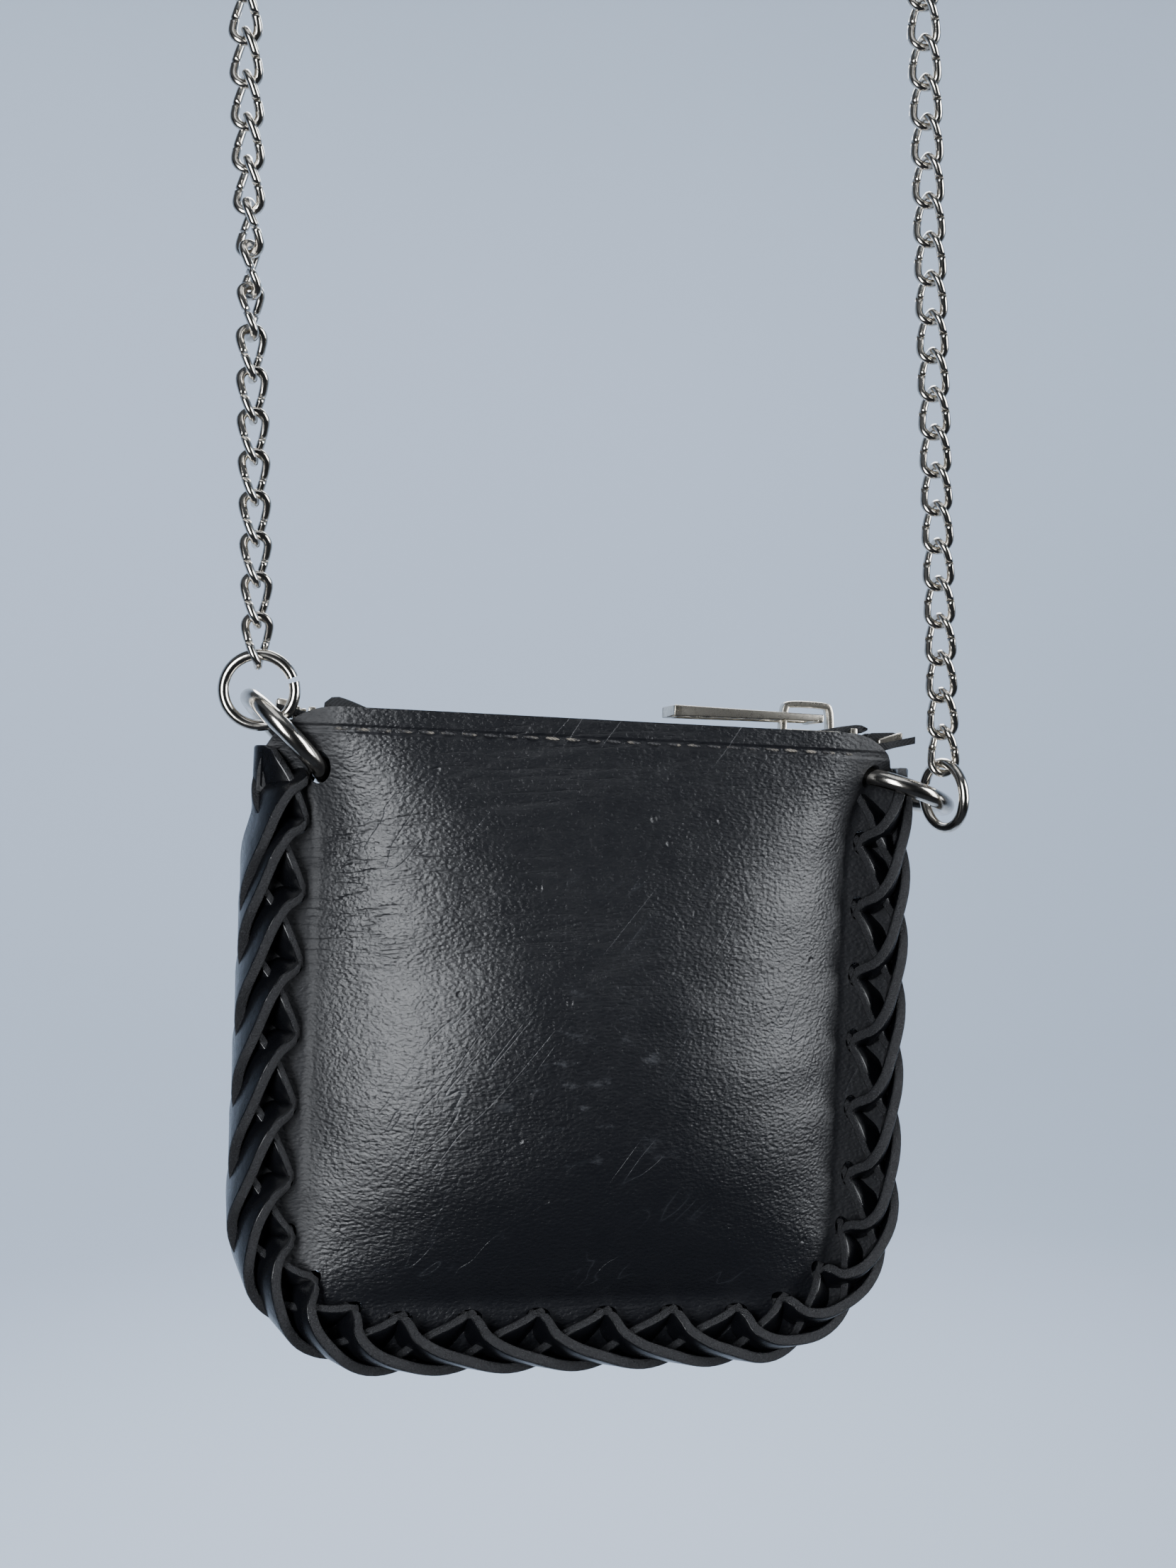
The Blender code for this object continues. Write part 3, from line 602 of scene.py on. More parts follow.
def add_panel(name, side, gap, material):
    """One leather panel: a grid over the dome, given its wall, then holed for lace and rings."""
    sizes = bpy.context.scene.wallet_sizes
    clear_selection()
    bpy.ops.mesh.primitive_grid_add(x_subdivisions=110, y_subdivisions=104, size=2)
    panel = active(name)

    def lay(point):
        z, half = panel_row((point.y + 1) / 2)
        x = point.x * half
        ripple = 0.00022 * noise.noise(Vector((x * 60, side * 3.7, z * 150)))
        return Vector((x, side * (gap(x, z) + sizes.leather + ripple), z))

    remap(panel, lay)
    panel.data.update()
    if panel.data.polygons[len(panel.data.polygons) // 2].normal.y * side < 0:
        panel.data.flip_normals()
    wall = panel.modifiers.new("wall", "SOLIDIFY")
    wall.thickness = sizes.leather
    wall.offset = -1
    rim = panel.modifiers.new("rim", "BEVEL")
    rim.width = 0.0005
    rim.segments = 3
    rim.limit_method = "ANGLE"
    rim.angle_limit = math.radians(60)
    apply_modifiers(panel)

    cutters = []
    for s in hole_places()[0]:
        (x, z), (nx, nz) = edge_point(s)
        clear_selection()
        bpy.ops.mesh.primitive_cylinder_add(vertices=16, radius=LACE_SLOT_R, depth=0.03)
        cutter = active("slot")
        turn = Matrix.Rotation(math.atan2(nx, -nz), 4, "Y")
        stand = Matrix.Rotation(math.pi / 2, 4, "X")
        middle = Matrix.Translation((x + nx * LACE_INSET, side * 0.012, z + nz * LACE_INSET))
        cutter.data.transform(middle @ turn @ stand @ Matrix.Diagonal((1.6, 1, 1, 1)))
        cutters.append(cutter)
    ring = bpy.context.scene.chain_sizes.strap_ring
    for hole, angle in (LEFT_RING, RIGHT_RING):
        depth = half_gap(*hole) + sizes.leather / 2
        turn = math.asin(clamp01(depth / ring))
        outward = Vector((math.cos(angle), 0, math.sin(angle)))
        middle = Vector((hole[0], side * depth, hole[1])) + outward * ring * (1 - math.cos(turn))
        ahead = outward * math.sin(turn) + Vector((0, side * math.cos(turn), 0))
        clear_selection()
        bpy.ops.mesh.primitive_cylinder_add(vertices=24, radius=RING_HOLE_R, depth=0.010)
        cutter = active("ring_hole")
        aimed = ahead.to_track_quat("Z", "Y").to_matrix().to_4x4()
        cutter.data.transform(Matrix.Translation(middle) @ aimed)
        cutters.append(cutter)
    cutter = join("holes", cutters)
    cut = panel.modifiers.new("holes", "BOOLEAN")
    cut.object = cutter
    cut.solver = "EXACT"
    apply_modifiers(panel)
    bpy.data.objects.remove(cutter)
    smooth_by_angle(panel, 45)
    return settle(panel, POUCH, material, "pouch", "leather", name.replace("leather", "panel"))


class WALLET_OT_panels(bpy.types.Operator):
    """Add the two leather panels"""

    bl_idname = "wallet.panels"
    bl_label = "Leather Panels"

    def execute(self, context):
        material = leather_material("pouch leather")
        add_panel("front_leather", -1, half_gap, material)
        add_panel("back_leather", 1, back_gap, material)
        return {"FINISHED"}


# --- lacing ---

# Rows: share of the way to the edge, pitches along, inset, height over the leather, width, lean.
# The last row lies past the edge, so that a strand rounds the edge without a kink.
OVER = (
    (0.00, 0.00, 7.8, -2.6, 3.0, 20),
    (0.10, 0.00, 6.9, 0.3, 3.8, 38),
    (0.28, 0.13, 4.4, 2.0, 5.2, 56),
    (0.50, 0.40, 2.2, 2.3, 6.8, 66),
    (0.74, 0.84, 0.5, 0.9, 7.8, 76),
    (0.88, 1.14, -0.5, -0.6, 8.2, 83),
    (1.00, 1.44, -0.9, -2.3, 8.2, 90),
    (1.12, 1.74, -0.5, -4.0, 8.2, 97),
)
UNDER = (
    (0.00, 0.00, 7.4, -2.6, 3.0, 20),
    (0.10, -0.04, 6.8, -0.4, 4.0, 40),
    (0.28, -0.25, 5.2, 0.8, 5.6, 50),
    (0.50, -0.50, 3.3, 0.7, 6.6, 48),
    (0.74, -0.78, 1.5, -0.2, 6.8, 62),
    (0.88, -0.96, 0.5, -1.2, 6.8, 78),
    (1.00, -1.14, 0.2, -2.3, 6.8, 90),
    (1.12, -1.32, 0.5, -3.4, 6.8, 102),
)


def lace_point(hole, step, stops, share, side, limits):
    """A place on a strand: its middle, its outward normal and its width."""
    along, inset, height, width, lean = spline(stops, share)
    whole = stops[-2][1]
    reach = along if side < 0 else 2 * whole - along
    s = min(max(hole + reach * step, limits[0]), limits[1])
    (x, z), (nx, nz) = edge_point(s)
    d = inset * MM
    inward = max(d, 0)
    leather = bpy.context.scene.wallet_sizes.leather
    surface = half_gap(x + nx * inward, z + nz * inward) + leather
    depth = max(surface + height * MM, 0.0)
    if share > 0.999:
        depth = 0.0
    lean = math.radians(lean)
    normal = Vector((-nx * math.sin(lean), side * math.cos(lean), -nz * math.sin(lean)))
    return Vector((x + nx * d, side * depth, z + nz * d)), normal, width * MM


def strand_stations(hole, step, stops, limits, count=22):
    stations = []
    for k in range(count + 1):
        stations.append(lace_point(hole, step, stops, k / count, -1, limits))
    for k in range(count - 1, -1, -1):
        stations.append(lace_point(hole, step, stops, k / count, 1, limits))
    return stations


def strip(name, stations, thickness, corner=0.0004):
    """A leather strip through stations, with rounded corners and its cut edges marked."""
    points, faces, cuts = [], [], []
    across = None
    for i, (middle, normal, width) in enumerate(stations):
        before = stations[max(i - 1, 0)][0]
        after = stations[min(i + 1, len(stations) - 1)][0]
        along = (after - before).normalized()
        across = along.cross(normal).normalized()
        out = across.cross(along).normalized()
        for quadrant in range(4):
            for part in (0, 45, 90):
                a = math.radians(quadrant * 90 + part)
                right = 1 if quadrant in (0, 3) else -1
                up = 1 if quadrant < 2 else -1
                u = right * (width / 2 - corner) + corner * math.cos(a)
                v = up * (thickness / 2 - corner) + corner * math.sin(a)
                points.append(middle + across * u + out * v)
                cuts.append(abs(math.cos(a)))
    ring = 12
    for i in range(len(stations) - 1):
        for k in range(ring):
            n = (k + 1) % ring
            faces.append((i * ring + k, i * ring + n, (i + 1) * ring + n, (i + 1) * ring + k))
    faces.append(tuple(range(ring)))
    faces.append(tuple(reversed(range(len(points) - ring, len(points)))))
    obj = make_object(name, points, faces)
    mark = obj.data.attributes.new("cut", "FLOAT", "POINT")
    mark.data.foreach_set("value", cuts)
    return obj


class WALLET_OT_lacing(bpy.types.Operator):
    """Lace the edge: strands cross over the rim from hole to hole, one set over the other"""

    bl_idname = "wallet.lacing"
    bl_label = "Edge Lacing"

    def execute(self, context):
        sizes = context.scene.wallet_sizes
        places, step = hole_places()
        limits = (places[0] - step * 0.75, places[-1] + step * 0.80)
        strands = []
        for hole in [places[0] - step * 0.62] + places:
            stations = strand_stations(hole, step, OVER, limits)
            strands.append(strip("over", stations, sizes.lace_thickness * OVER_SHARE))
        for hole in places + [places[-1] + step * 0.7]:
            stations = strand_stations(hole, step, UNDER, limits)
            strands.append(strip("under", stations, sizes.lace_thickness * UNDER_SHARE))
        lace = join("laced_edge", strands)
        smooth_by_angle(lace, 60)
        settle(lace, POUCH, lace_material(), "pouch", "lacing", "edge_lace")
        return {"FINISHED"}


# --- seams ---


class WALLET_OT_seams(bpy.types.Operator):
    """Sew the stitches under the mouth's edges"""

    bl_idname = "wallet.seams"
    bl_label = "Seams"

    def execute(self, context):
        sizes = context.scene.wallet_sizes
        material = thread_material()
        reach = sizes.half_width - TOP_CORNER_R + 0.002
        count = int(2 * reach / sizes.stitch_pitch)
        for place, side, gap in (("front", -1, half_gap), ("back", 1, back_gap)):
            stitches = []
            for k in range(count):
                x = (k - (count - 1) / 2) * sizes.stitch_pitch
                z = -sizes.stitch_drop
                near = side * (gap(x - 0.0005, z) + sizes.leather)
                far = side * (gap(x + 0.0005, z) + sizes.leather)
                clear_selection()
                bpy.ops.mesh.primitive_uv_sphere_add(segments=10, ring_count=8, radius=0.00034)
                stitch = active("stitch")
                turn = Matrix.Rotation(math.atan2(far - near, 0.001), 4, "Z")
                tip = Matrix.Rotation(math.radians(4), 4, "Y")
                middle = Matrix.Translation((x, (near + far) / 2, z))
                stitch.data.transform(middle @ turn @ tip @ Matrix.Diagonal((3.6, 0.7, 0.75, 1)))
                stitches.append(stitch)
            seam = join(f"stitches_{place}", stitches)
            seam.data.shade_smooth()
            settle(seam, POUCH, material, "pouch", "thread", f"seam_thread_{place}")
        return {"FINISHED"}


# --- zip ---


def refine(name, node, width, segments):
    """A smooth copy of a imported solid: its triangles merged, its edges rounded."""
    source = frame["nodes"][node]
    piece = source.copy()
    piece.data = source.data.copy()
    piece.parent = None
    for key in list(piece.keys()):
        del piece[key]
    piece.hide_render = False
    bpy.context.scene.collection.objects.link(piece)
    piece.name = name
    piece.data.name = name
    choose(piece)
    bpy.ops.object.mode_set(mode="EDIT")
    bpy.ops.mesh.select_all(action="SELECT")
    bpy.ops.mesh.remove_doubles(threshold=0.000005)
    bpy.ops.mesh.dissolve_limited(angle_limit=math.radians(2))
    bpy.ops.object.mode_set(mode="OBJECT")
    bevel = piece.modifiers.new("bevel", "BEVEL")
    bevel.width = width
    bevel.segments = segments
    bevel.limit_method = "ANGLE"
    bevel.angle_limit = math.radians(25)
    apply_modifiers(piece)
    smooth_by_angle(piece, 35)
    return piece


def pouch_places(node):
    """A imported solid's vertices in the pouch's own frame."""
    inverse = POUCH.inverted()
    return [inverse @ vertex.co for vertex in frame["nodes"][node].data.vertices]


def pouch_box(node):
    places = pouch_places(node)
    return tuple(
        Vector([pick(p[axis] for p in places) for axis in range(3)]) for pick in (min, max))


def add_block(low, high, end=(1, 1), width=0.0002, segments=3):
    """A block between two corners, its +X end scaled across and upright, with rounded edges."""
    clear_selection()
    bpy.ops.mesh.primitive_cube_add(size=1)
    block = active("block")
    size = Vector(high) - Vector(low)
    for vertex in block.data.vertices:
        if vertex.co.x > 0:
            vertex.co.y *= end[0]
            vertex.co.z *= end[1]
    block.data.transform(Matrix.Diagonal((*size, 1)))
    block.data.transform(Matrix.Translation((Vector(high) + Vector(low)) / 2))
    bevel = block.modifiers.new("bevel", "BEVEL")
    bevel.width = width
    bevel.segments = segments
    apply_modifiers(block)
    return block


def add_slider(centre, body_top, bail_top):
    """Two flanged plates round a post, with a stamped bridge for the pull on top."""
    half, level = 0.0050, ZIP_LEVEL
    inner = ROW_HEIGHT / 2 + 0.0003
    left, right = centre - half, centre + half
    parts = []
    for low, high in ((inner, body_top - level), (level - body_top, -inner)):
        near, far = (left, -SLIDER_HALF, level + low), (right, SLIDER_HALF, level + high)
        parts.append(add_block(near, far, (1.17, 1), 0.0003))
    near, far = (centre + 0.001, -0.0002, level - inner), (right - 0.0006, 0.0002, level + inner)
    parts.append(add_block(near, far))
    for side in (-1, 1):
        wall = (0.0036 if side > 0 else -0.0041, 0.0041 if side > 0 else -0.0036)
        for low, high in ((inner - 0.0002, body_top - level), (level - body_top, 0.0002 - inner)):
            near, far = (left + 0.001, wall[0], level + low), (right, wall[1], level + high)
            parts.append(add_block(near, far))
    profile = [(left + 0.0006, body_top - 0.0003), (left + 0.0009, bail_top - 0.0008)]
    profile += [(left + 0.0022, bail_top), (right - 0.0026, bail_top)]
    profile += [(right - 0.0011, bail_top - 0.0007), (right - 0.0007, body_top - 0.0003)]
    stations = []
    for k in range(25):
        spot = (len(profile) - 1) * k / 24
        i = min(int(spot), len(profile) - 2)
        rows = [(n, *place) for n, place in enumerate(profile)]
        x, z = spline(rows, spot)
        ahead = Vector((profile[i + 1][0] - profile[i][0], 0, profile[i + 1][1] - profile[i][1]))
        stations.append((Vector((x, 0, z)), Vector((-ahead.z, 0, ahead.x)).normalized(), 0.0021))
    parts.append(strip("bridge", stations, 0.0011, 0.00025))
    return join("slider", parts)


def add_pull(low, high):
    """A long loop of square bar, deep at its free end and slim where it turns in the bridge."""
    bar, top = 0.0012, high.z + 0.0005
    parts = []
    for near, far in ((low.y, low.y + bar), (high.y - bar, high.y)):
        parts.append(add_block((low.x, near, low.z), (high.x, far, top), (1, 0.62), 0.00022))
    end = (low.x + bar * 1.3, high.y, top)
    parts.append(add_block(tuple(low), end, (1, 1), 0.00022))
    middle = (low.z + high.z) / 2
    near = (high.x - bar, low.y, middle - bar * 0.48)
    far = (high.x, high.y, middle + bar * 0.48)
    parts.append(add_block(near, far, (1, 1), 0.0003, 4))
    return join("pull", parts)


def tape_tails(side):
    """The tape's free ends, folded up past the stops with their woven edge frayed round."""
    tails = []
    ends = [(0.0375, 0.0485, 0.0004, 0.0020, 0.0016), (0.0486, 0.0545, 0.0006, 0.0009, 0.0024)]
    if side > 0:
        ends.append((-0.0445, -0.0330, 0.0024, -0.0006, 0.0040))
    for start, end, high, low, width in ends:
        stations = []
        for k in range(13):
            t = k / 12
            x, top = mix(start, end, t), mix(high, low, smooth(t))
            y = side * 0.0016
            fray = math.sin(min(t, 1 - t) * 12) if min(t, 1 - t) < 0.12 else 1.0
            spot = Vector((x, y, top - width / 2))
            stations.append((spot, Vector((0, -1, 0)), width * max(fray, 0.35)))
        tails.append(strip("tape_tail", stations, 0.0012, 0.0005))
    return tails


def add_tooth(place, side, closed):
    """One stamped tooth: a slim block with its nose drawn in and a dimple's shoulder."""
    inner = -0.0009 if closed else 0.0004
    outer = 0.0029
    clear_selection()
    bpy.ops.mesh.primitive_cube_add(size=1)
    tooth = active("tooth")
    tooth.data.transform(Matrix.Diagonal((0.00125, outer - inner, ROW_HEIGHT, 1)))
    tooth.data.transform(Matrix.Translation((0, (outer + inner) / 2, 0)))
    for vertex in tooth.data.vertices:
        if vertex.co.y < (outer + inner) / 2:
            vertex.co.x *= 0.72
            vertex.co.z *= 0.80
    bevel = tooth.modifiers.new("bevel", "BEVEL")
    bevel.width = 0.00022
    bevel.segments = 2
    apply_modifiers(tooth)
    tooth.data.transform(place @ Matrix.Diagonal((1, side, 1, 1)))
    if side < 0:
        tooth.data.flip_normals()
    return tooth


class WALLET_OT_zip(bpy.types.Operator):
    """Build the zip: tapes, single teeth, stops, slider and pull"""

    bl_idname = "wallet.zip"
    bl_label = "Zip"

    def execute(self, context):
        sizes = context.scene.wallet_sizes
        metal = metal_material("zip metal", colours().zip_metal, 0.20, 0.12)
        cloth = cloth_material()
        for place, side in (("front", -1), ("back", 1)):
            tape = refine(f"tape_{place}", f"zip_tape_{place}", 0.00012, 2)
            tape.data.transform(POUCH.inverted())
            tape = join(f"tape_{place}", [tape] + tape_tails(side))
            settle(tape, POUCH, cloth, "pouch", "zip_tape", f"zip_tape_{place}")
            places = pouch_places(f"zip_teeth_{place}")
            low, high = min(p.x for p in places), max(p.x for p in places)
            teeth = []
            count = int((high - low) / sizes.tooth_pitch)
            slider_x = sum(corner.x for corner in pouch_box("zip_slider")) / 2
            for k in range(count):
                x = low + sizes.tooth_pitch * (k + 0.5 + (0.25 if side > 0 else -0.25))
                near = [p.z for p in places if abs(p.x - x) < 0.0062]
                level = (max(near) + min(near)) / 2 if near else ZIP_LEVEL
                level += 0.0020 * smooth((x - slider_x - 0.002) / 0.007)
                teeth.append(add_tooth(Matrix.Translation((x, 0, level)), side, x < slider_x))
            row = join(f"teeth_{place}", teeth)
            smooth_by_angle(row, 35)
            settle(row, POUCH, metal, "pouch", "zip_teeth", f"zip_teeth_{place}")
            stop = refine(f"top_stop_{place}", f"zip_top_stop_{place}", 0.00035, 3)
            node = f"zip_top_stop_{place}"
            settle(stop, Matrix.Identity(4), metal, "pouch", "zip_hardware", node)
        stop = refine("bottom_stop", "zip_bottom_stop", 0.0004, 3)
        settle(stop, Matrix.Identity(4), metal, "pouch", "zip_hardware", "zip_bottom_stop")
        low, high = pouch_box("zip_slider")
        slider = add_slider((low.x + high.x) / 2, ZIP_LEVEL * 2 - low.z, high.z)
        smooth_by_angle(slider, 35)
        settle(slider, POUCH, metal, "slider", "zip_hardware", "zip_slider")
        pull = add_pull(*pouch_box("zip_pull"))
        smooth_by_angle(pull, 35)
        settle(pull, POUCH, metal, "pull", "zip_hardware", "zip_pull")
        return {"FINISHED"}


# --- rings and chain ---


def add_ring(name, centre, across, up, radius, wire, split=None, gap=0.0006):
    """A ring of round wire in the plane of two directions, with an open joint where it is split."""
    clear_selection()
    bpy.ops.mesh.primitive_torus_add(
        major_radius=radius, minor_radius=wire / 2, major_segments=96, minor_segments=20)
    ring = active(name)
    if split is not None:
        shape = bmesh.new()
        shape.from_mesh(ring.data)
        half = gap / radius / 2
        doomed = []
        for face in shape.faces:
            middle = face.calc_center_median()
            away = (math.atan2(middle.y, middle.x) - split + math.pi) % (2 * math.pi) - math.pi
            if abs(away) < max(half, math.pi / 96):
                doomed.append(face)
        bmesh.ops.delete(shape, geom=doomed, context="FACES")
        edges = [edge for edge in shape.edges if edge.is_boundary]
        bmesh.ops.holes_fill(shape, edges=edges, sides=0)
        bmesh.ops.recalc_face_normals(shape, faces=shape.faces)
        shape.to_mesh(ring.data)
        shape.free()
    normal = across.cross(up)
    place = Matrix((across, up, normal)).transposed().to_4x4()
    ring.data.transform(Matrix.Translation(centre) @ place)
    smooth_by_angle(ring, 50)
    return ring


def link_half():
    chain = bpy.context.scene.chain_sizes
    return (chain.pitch + chain.wire + 0.00018) / 2


def model_link():
    """One curb link: a torus drawn out into an oval, then given a quarter turn end to end."""
    chain = bpy.context.scene.chain_sizes
    bar = (chain.width - chain.wire) / 2
    straight = link_half() - bar
    clear_selection()
    bpy.ops.mesh.primitive_torus_add(
        major_radius=bar, minor_radius=chain.wire / 2, major_segments=44, minor_segments=12)
    link = active("link")
    length = 4 * straight + 2 * math.pi * bar

    def draw(point):
        angle = math.atan2(point.y, point.x) % (2 * math.pi)
        out = math.hypot(point.x, point.y) - bar
        s = angle / (2 * math.pi) * length
        quarter = math.pi * bar / 2
        half = s % (length / 2)
        flip = 1 if s < length / 2 else -1
        if half < straight:
            x, z, nx, nz = bar, half, 1, 0
        elif half < straight + 2 * quarter:
            a = (half - straight) / bar
            x, z, nx, nz = bar * math.cos(a), straight + bar * math.sin(a), math.cos(a), math.sin(a)
        else:
            x, z, nx, nz = -bar, length / 2 - half, -1, 0
        x, z = flip * (x + nx * out), flip * (z + nz * out)
        turn = -math.pi / 4 * (z / link_half() + 1)
        return Matrix.Rotation(turn, 3, "Z") @ Vector((x, point.z * flip, z))

    remap(link, draw)
    link.data.shade_smooth()
    return link


def strap_plan():
    """Each link's place by its number: up the left strand, over the arch, down the right one."""
    chain = bpy.context.scene.chain_sizes
    lean = math.radians(1.3)
    turn_links, turn_back_links = (6, 12), (24, 32)
    seat = (chain.jump_ring_wire + chain.wire) / 4 + SEAT_SLACK
    lift = Vector((0, 0, link_half() - chain.pitch / 2 - seat))
    left = Vector(JOINTS["left_ring_level"]["pos_m"]) + lift
    right = Vector(JOINTS["right_ring_level"]["pos_m"]) + lift
    rise_left = Vector((math.sin(lean), 0, math.cos(lean)))
    rise_right = Vector((-math.sin(lean), 0, math.cos(lean)))
    middle = (left.x + right.x) / 2 + (right.z - left.z) * math.tan(lean) / 2

    def arc(level):
        radius = (middle - left.x - (level - left.z) * math.tan(lean)) * math.cos(lean)
        centre = Vector((middle, 0, level))
        up = (centre + Vector((-math.cos(lean), 0, math.sin(lean))) * radius - left).dot(rise_left)
        rim = centre + Vector((math.cos(lean), 0, math.sin(lean))) * radius
        down = (rim - right).dot(rise_right)
        return centre, radius, up, up + down + radius * (math.pi - 2 * lean)

    low = left.z + 0.1120
    length, growth = arc(low)[3], arc(low + 1)[3] - arc(low)[3]
    count = math.ceil(length / chain.pitch)
    centre, radius, up, _ = arc(low + (count * chain.pitch - length) / growth)

    def place(number):
        s = (number + 0.5) * chain.pitch
        turned = (s - up) / radius
        if s < up:
            spot, along = left + rise_left * s, rise_left
        elif turned < math.pi - 2 * lean:
            angle = math.pi - lean - turned
            spot = centre + Vector((math.cos(angle), 0, math.sin(angle))) * radius
            along = Vector((math.sin(angle), 0, -math.cos(angle)))
        else:
            spot, along = right + rise_right * (count * chain.pitch - s), -rise_right
        quarter = smooth((number - turn_links[0]) / (turn_links[1] - turn_links[0]))
        back = smooth((number - turn_back_links[0]) / (turn_back_links[1] - turn_back_links[0]))
        depth = Vector((0, 1, 0))
        turn = Matrix((depth.cross(along), depth, along)).transposed()
        turn = turn @ Matrix.Rotation(math.pi / 2 * (1 + quarter - back), 3, "Z")
        return Matrix.Translation(spot) @ turn.to_4x4()

    return place, count


def place_link(model, name, matrix):
    link = model.copy()
    link.data = model.data.copy()
    link.name = name
    link.data.name = name
    bpy.context.scene.collection.objects.link(link)
    link.data.transform(matrix)
    return link


class WALLET_OT_chain(bpy.types.Operator):
    """String the strap's links over their packed places"""

    bl_idname = "wallet.chain"
    bl_label = "Chain"

    def execute(self, context):
        metal = metal_material("chain nickel", colours().nickel, 0.10, 0.10)
        model = model_link()
        place, count = strap_plan()
        strand = sum(1 for node in frame["nodes"] if node.startswith("left_link_"))
        runs = sorted(node for node in frame["nodes"] if node.startswith("top_links_"))
        still = Matrix.Identity(4)
        for number in range(strand):
            for side, index in (("left", number), ("right", count - 1 - number)):
                node = f"{side}_link_{number + 1:02d}"
                link = place_link(model, f"chain_{node}", place(index))
                settle(link, still, metal, f"{side}_strand", "chain_nickel", node)
        for side, index in (("left", strand), ("right", count - 1 - strand)):
            link = place_link(model, f"chain_carrier_{side}", place(index))
            settle(link, still, metal, "strap_carrier", "chain_nickel", f"carrier_link_{side}")
        first, last = strand + 1, count - 1 - strand
        starts = [first + round((last - first) * k / len(runs)) for k in range(len(runs) + 1)]
        for run, low, high in zip(runs, starts, starts[1:]):
            links = [place_link(model, "run", place(index)) for index in range(low, high)]
            arch = join(f"chain_{run}", links)
            settle(arch, still, metal, "strap_top", "chain_nickel", run)
        bpy.data.objects.remove(model)
        return {"FINISHED"}


class WALLET_OT_rings(bpy.types.Operator):
    """Add the strap rings and the split jump rings"""

    bl_idname = "wallet.rings"
    bl_label = "Rings"

    def execute(self, context):
        chain = context.scene.chain_sizes
        metal = metal_material("ring nickel", colours().nickel, 0.09, 0.10)
        still = Matrix.Identity(4)
        turn = POUCH.to_3x3()
        for side, hole, angle in (("left", *LEFT_RING), ("right", *RIGHT_RING)):
            outward = Vector((math.cos(angle), 0, math.sin(angle)))
            centre = Vector((hole[0], 0, hole[1])) + outward * chain.strap_ring
            ring = add_ring(
                f"heavy_ring_{side}", POUCH @ centre, turn @ outward, BACK,
                chain.strap_ring, chain.strap_ring_wire)
            settle(ring, still, metal, f"{side}_strap_ring", "ring_nickel", f"strap_ring_{side}")
        up = Vector((0, 0, 1))
        drop = chain.jump_ring - (chain.jump_ring_wire + chain.wire) / 4 - SEAT_SLACK
        split = math.radians(15)
        for side, turn in (("left", math.radians(-6)), ("right", math.radians(104))):
            across = Vector((math.cos(turn), math.sin(turn), 0))
            centre = Vector(JOINTS[f"{side}_ring_level"]["pos_m"]) - up * drop
            ring = add_ring(
                f"split_ring_{side}", centre, across, up,
                chain.jump_ring, chain.jump_ring_wire, split)
            settle(ring, still, metal, f"{side}_jump_ring", "ring_nickel", f"jump_ring_{side}")
        return {"FINISHED"}


# --- studio ---


def look_along(yaw, pitch, roll):
    """A camera's turn: yaw to the right of +Y, pitch up, roll to the right."""
    level = math.cos(pitch)
    forward = Vector((math.sin(yaw) * level, math.cos(yaw) * level, math.sin(pitch)))
    right = Vector((math.cos(yaw), -math.sin(yaw), 0))
    up = right.cross(forward)
    tilt, tip = math.cos(roll), math.sin(roll)
    right, up = right * tilt + up * tip, up * tilt - right * tip
    return Matrix((right, up, -forward)).transposed().to_4x4()


def add_light(name, place, away, size, power, colour):
    """A soft box that shines against the direction given."""
    light = bpy.data.lights.new(name, "AREA")
    light.shape = "RECTANGLE"
    light.size, light.size_y = size
    light.energy = power
    light.color = colour
    obj = bpy.data.objects.new(name, light)
    obj.location = place
    obj.rotation_euler = away.to_track_quat("Z", "Y").to_euler()
    bpy.context.scene.collection.objects.link(obj)


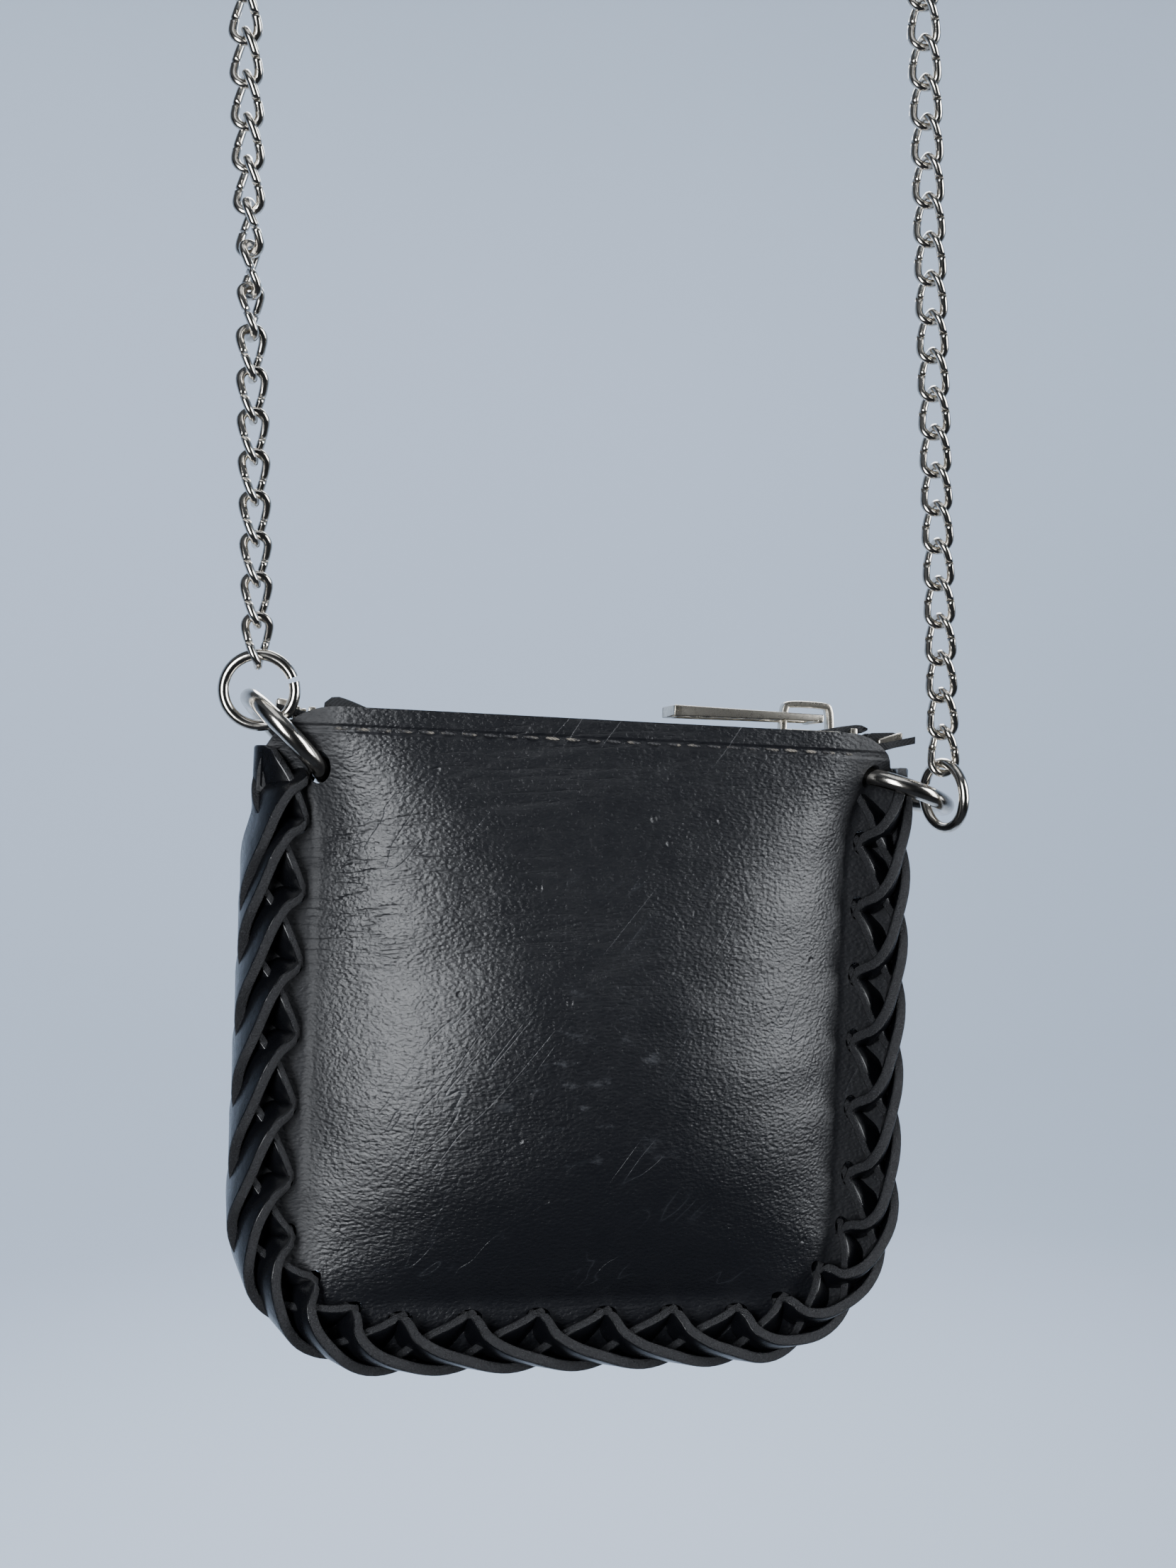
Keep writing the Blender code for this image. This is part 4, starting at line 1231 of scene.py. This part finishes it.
class WALLET_OT_studio(bpy.types.Operator):
    """Set the studio: a pale floor swept up into walls, painted dark in front of the object as
    painted shade, soft boxes and the camera
    """

    bl_idname = "wallet.studio"
    bl_label = "Studio"

    def execute(self, context):
        low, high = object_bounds()
        aim = (Vector(low) + Vector(high)) / 2
        clear_selection()
        bpy.ops.mesh.primitive_circle_add(vertices=96, radius=1, fill_type="NGON")
        floor = active("studio_floor")
        shape = bmesh.new()
        floor_z, reach, sweep, top = low[2] - 0.5, 2.4, 0.9, 2.6
        profile = [(0.01, 0), (reach - sweep, 0)]
        for k in range(1, 13):
            a = math.pi / 2 * k / 12
            profile.append((reach - sweep + sweep * math.sin(a), sweep * (1 - math.cos(a))))
        profile.append((reach, top))
        rings = []
        for radius, z in profile:
            ring = []
            for k in range(96):
                a = 2 * math.pi * k / 96
                place = (radius * math.cos(a), radius * math.sin(a), floor_z + z)
                ring.append(shape.verts.new(place))
            rings.append(ring)
        for near, far in zip(rings, rings[1:]):
            for k in range(96):
                n = (k + 1) % 96
                shape.faces.new((near[k], far[k], far[n], near[n]))
        shape.faces.new(rings[0])
        shape.to_mesh(floor.data)
        shape.free()
        floor.data.shade_smooth()
        floor.data.materials.append(studio_material())
        floor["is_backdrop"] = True

        # name, azimuth from the front towards +X, elevation, distance, size, power
        boxes = (
            ("left_box", -33, 4, 0.75, (0.22, 0.55), 10),
            ("right_box", 64, 6, 0.75, (0.30, 0.60), 8),
            ("top_box", 20, 75, 1.2, (0.8, 0.8), 2.2),
            ("back_box", 165, 30, 1.3, (0.6, 0.6), 10),
        )
        for name, azimuth, elevation, distance, size, power in boxes:
            azimuth, elevation = math.radians(azimuth), math.radians(elevation)
            level = math.cos(elevation)
            away = Vector((
                math.sin(azimuth) * level, -math.cos(azimuth) * level, math.sin(elevation)))
            add_light(name, aim + away * distance, away, size, power, (0.93, 0.96, 1.0))
        wash_place, wash_away = aim + Vector((0, 0.35, 0.5)), Vector((0, -1, 0.12))
        add_light("wall_wash", wash_place, wash_away, (2.0, 0.5), 60, (0.86, 0.92, 1.0))
        world = bpy.data.worlds.new("studio")
        world.use_nodes = True
        sky = world.node_tree.nodes["Background"]
        sky.inputs["Color"].default_value = (0.62, 0.68, 0.78, 1)
        sky.inputs["Strength"].default_value = 0.12
        context.scene.world = world

        camera = bpy.data.cameras.new("camera")
        camera.sensor_fit = "HORIZONTAL"
        camera.sensor_width = 36
        camera.lens = 53.64
        camera.clip_start = 0.01
        obj = bpy.data.objects.new("camera", camera)
        turn = look_along(math.radians(11.6), math.radians(-5.5), math.radians(-1.43))
        obj.matrix_world = Matrix.Translation((-0.0626, -0.2821, -0.1586)) @ turn
        context.scene.collection.objects.link(obj)
        context.scene.camera = obj
        return {"FINISHED"}


class WALLET_PT_sidebar(bpy.types.Panel):
    """The wallet's pieces, sizes and colours"""

    bl_label = "Chain Wallet"
    bl_space_type = "VIEW_3D"
    bl_region_type = "UI"
    bl_category = "Wallet"

    def draw(self, context):
        for operator in OPERATORS:
            self.layout.operator(operator.bl_idname)
        for group_name in GROUPS:
            group = getattr(context.scene, group_name)
            for name in group.__annotations__:
                self.layout.prop(group, name)


GROUPS = {"wallet_sizes": WalletSizes, "chain_sizes": ChainSizes, "wallet_colours": WalletColours}
OPERATORS = (
    WALLET_OT_studio,
    WALLET_OT_panels,
    WALLET_OT_lacing,
    WALLET_OT_seams,
    WALLET_OT_zip,
    WALLET_OT_rings,
    WALLET_OT_chain,
)


def register():
    for cls in (*GROUPS.values(), *OPERATORS, WALLET_PT_sidebar):
        bpy.utils.register_class(cls)
    for name, group in GROUPS.items():
        setattr(bpy.types.Scene, name, bpy.props.PointerProperty(type=group))


def unregister():
    for name in GROUPS:
        delattr(bpy.types.Scene, name)
    for cls in reversed((*GROUPS.values(), *OPERATORS, WALLET_PT_sidebar)):
        bpy.utils.unregister_class(cls)


def main():
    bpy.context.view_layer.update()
    register()
    clear_selection()
    bpy.ops.wallet.studio()
    bpy.ops.wallet.panels()
    bpy.ops.wallet.lacing()
    bpy.ops.wallet.seams()
    bpy.ops.wallet.zip()
    bpy.ops.wallet.rings()
    bpy.ops.wallet.chain()


if __name__ == "__main__":
    main()
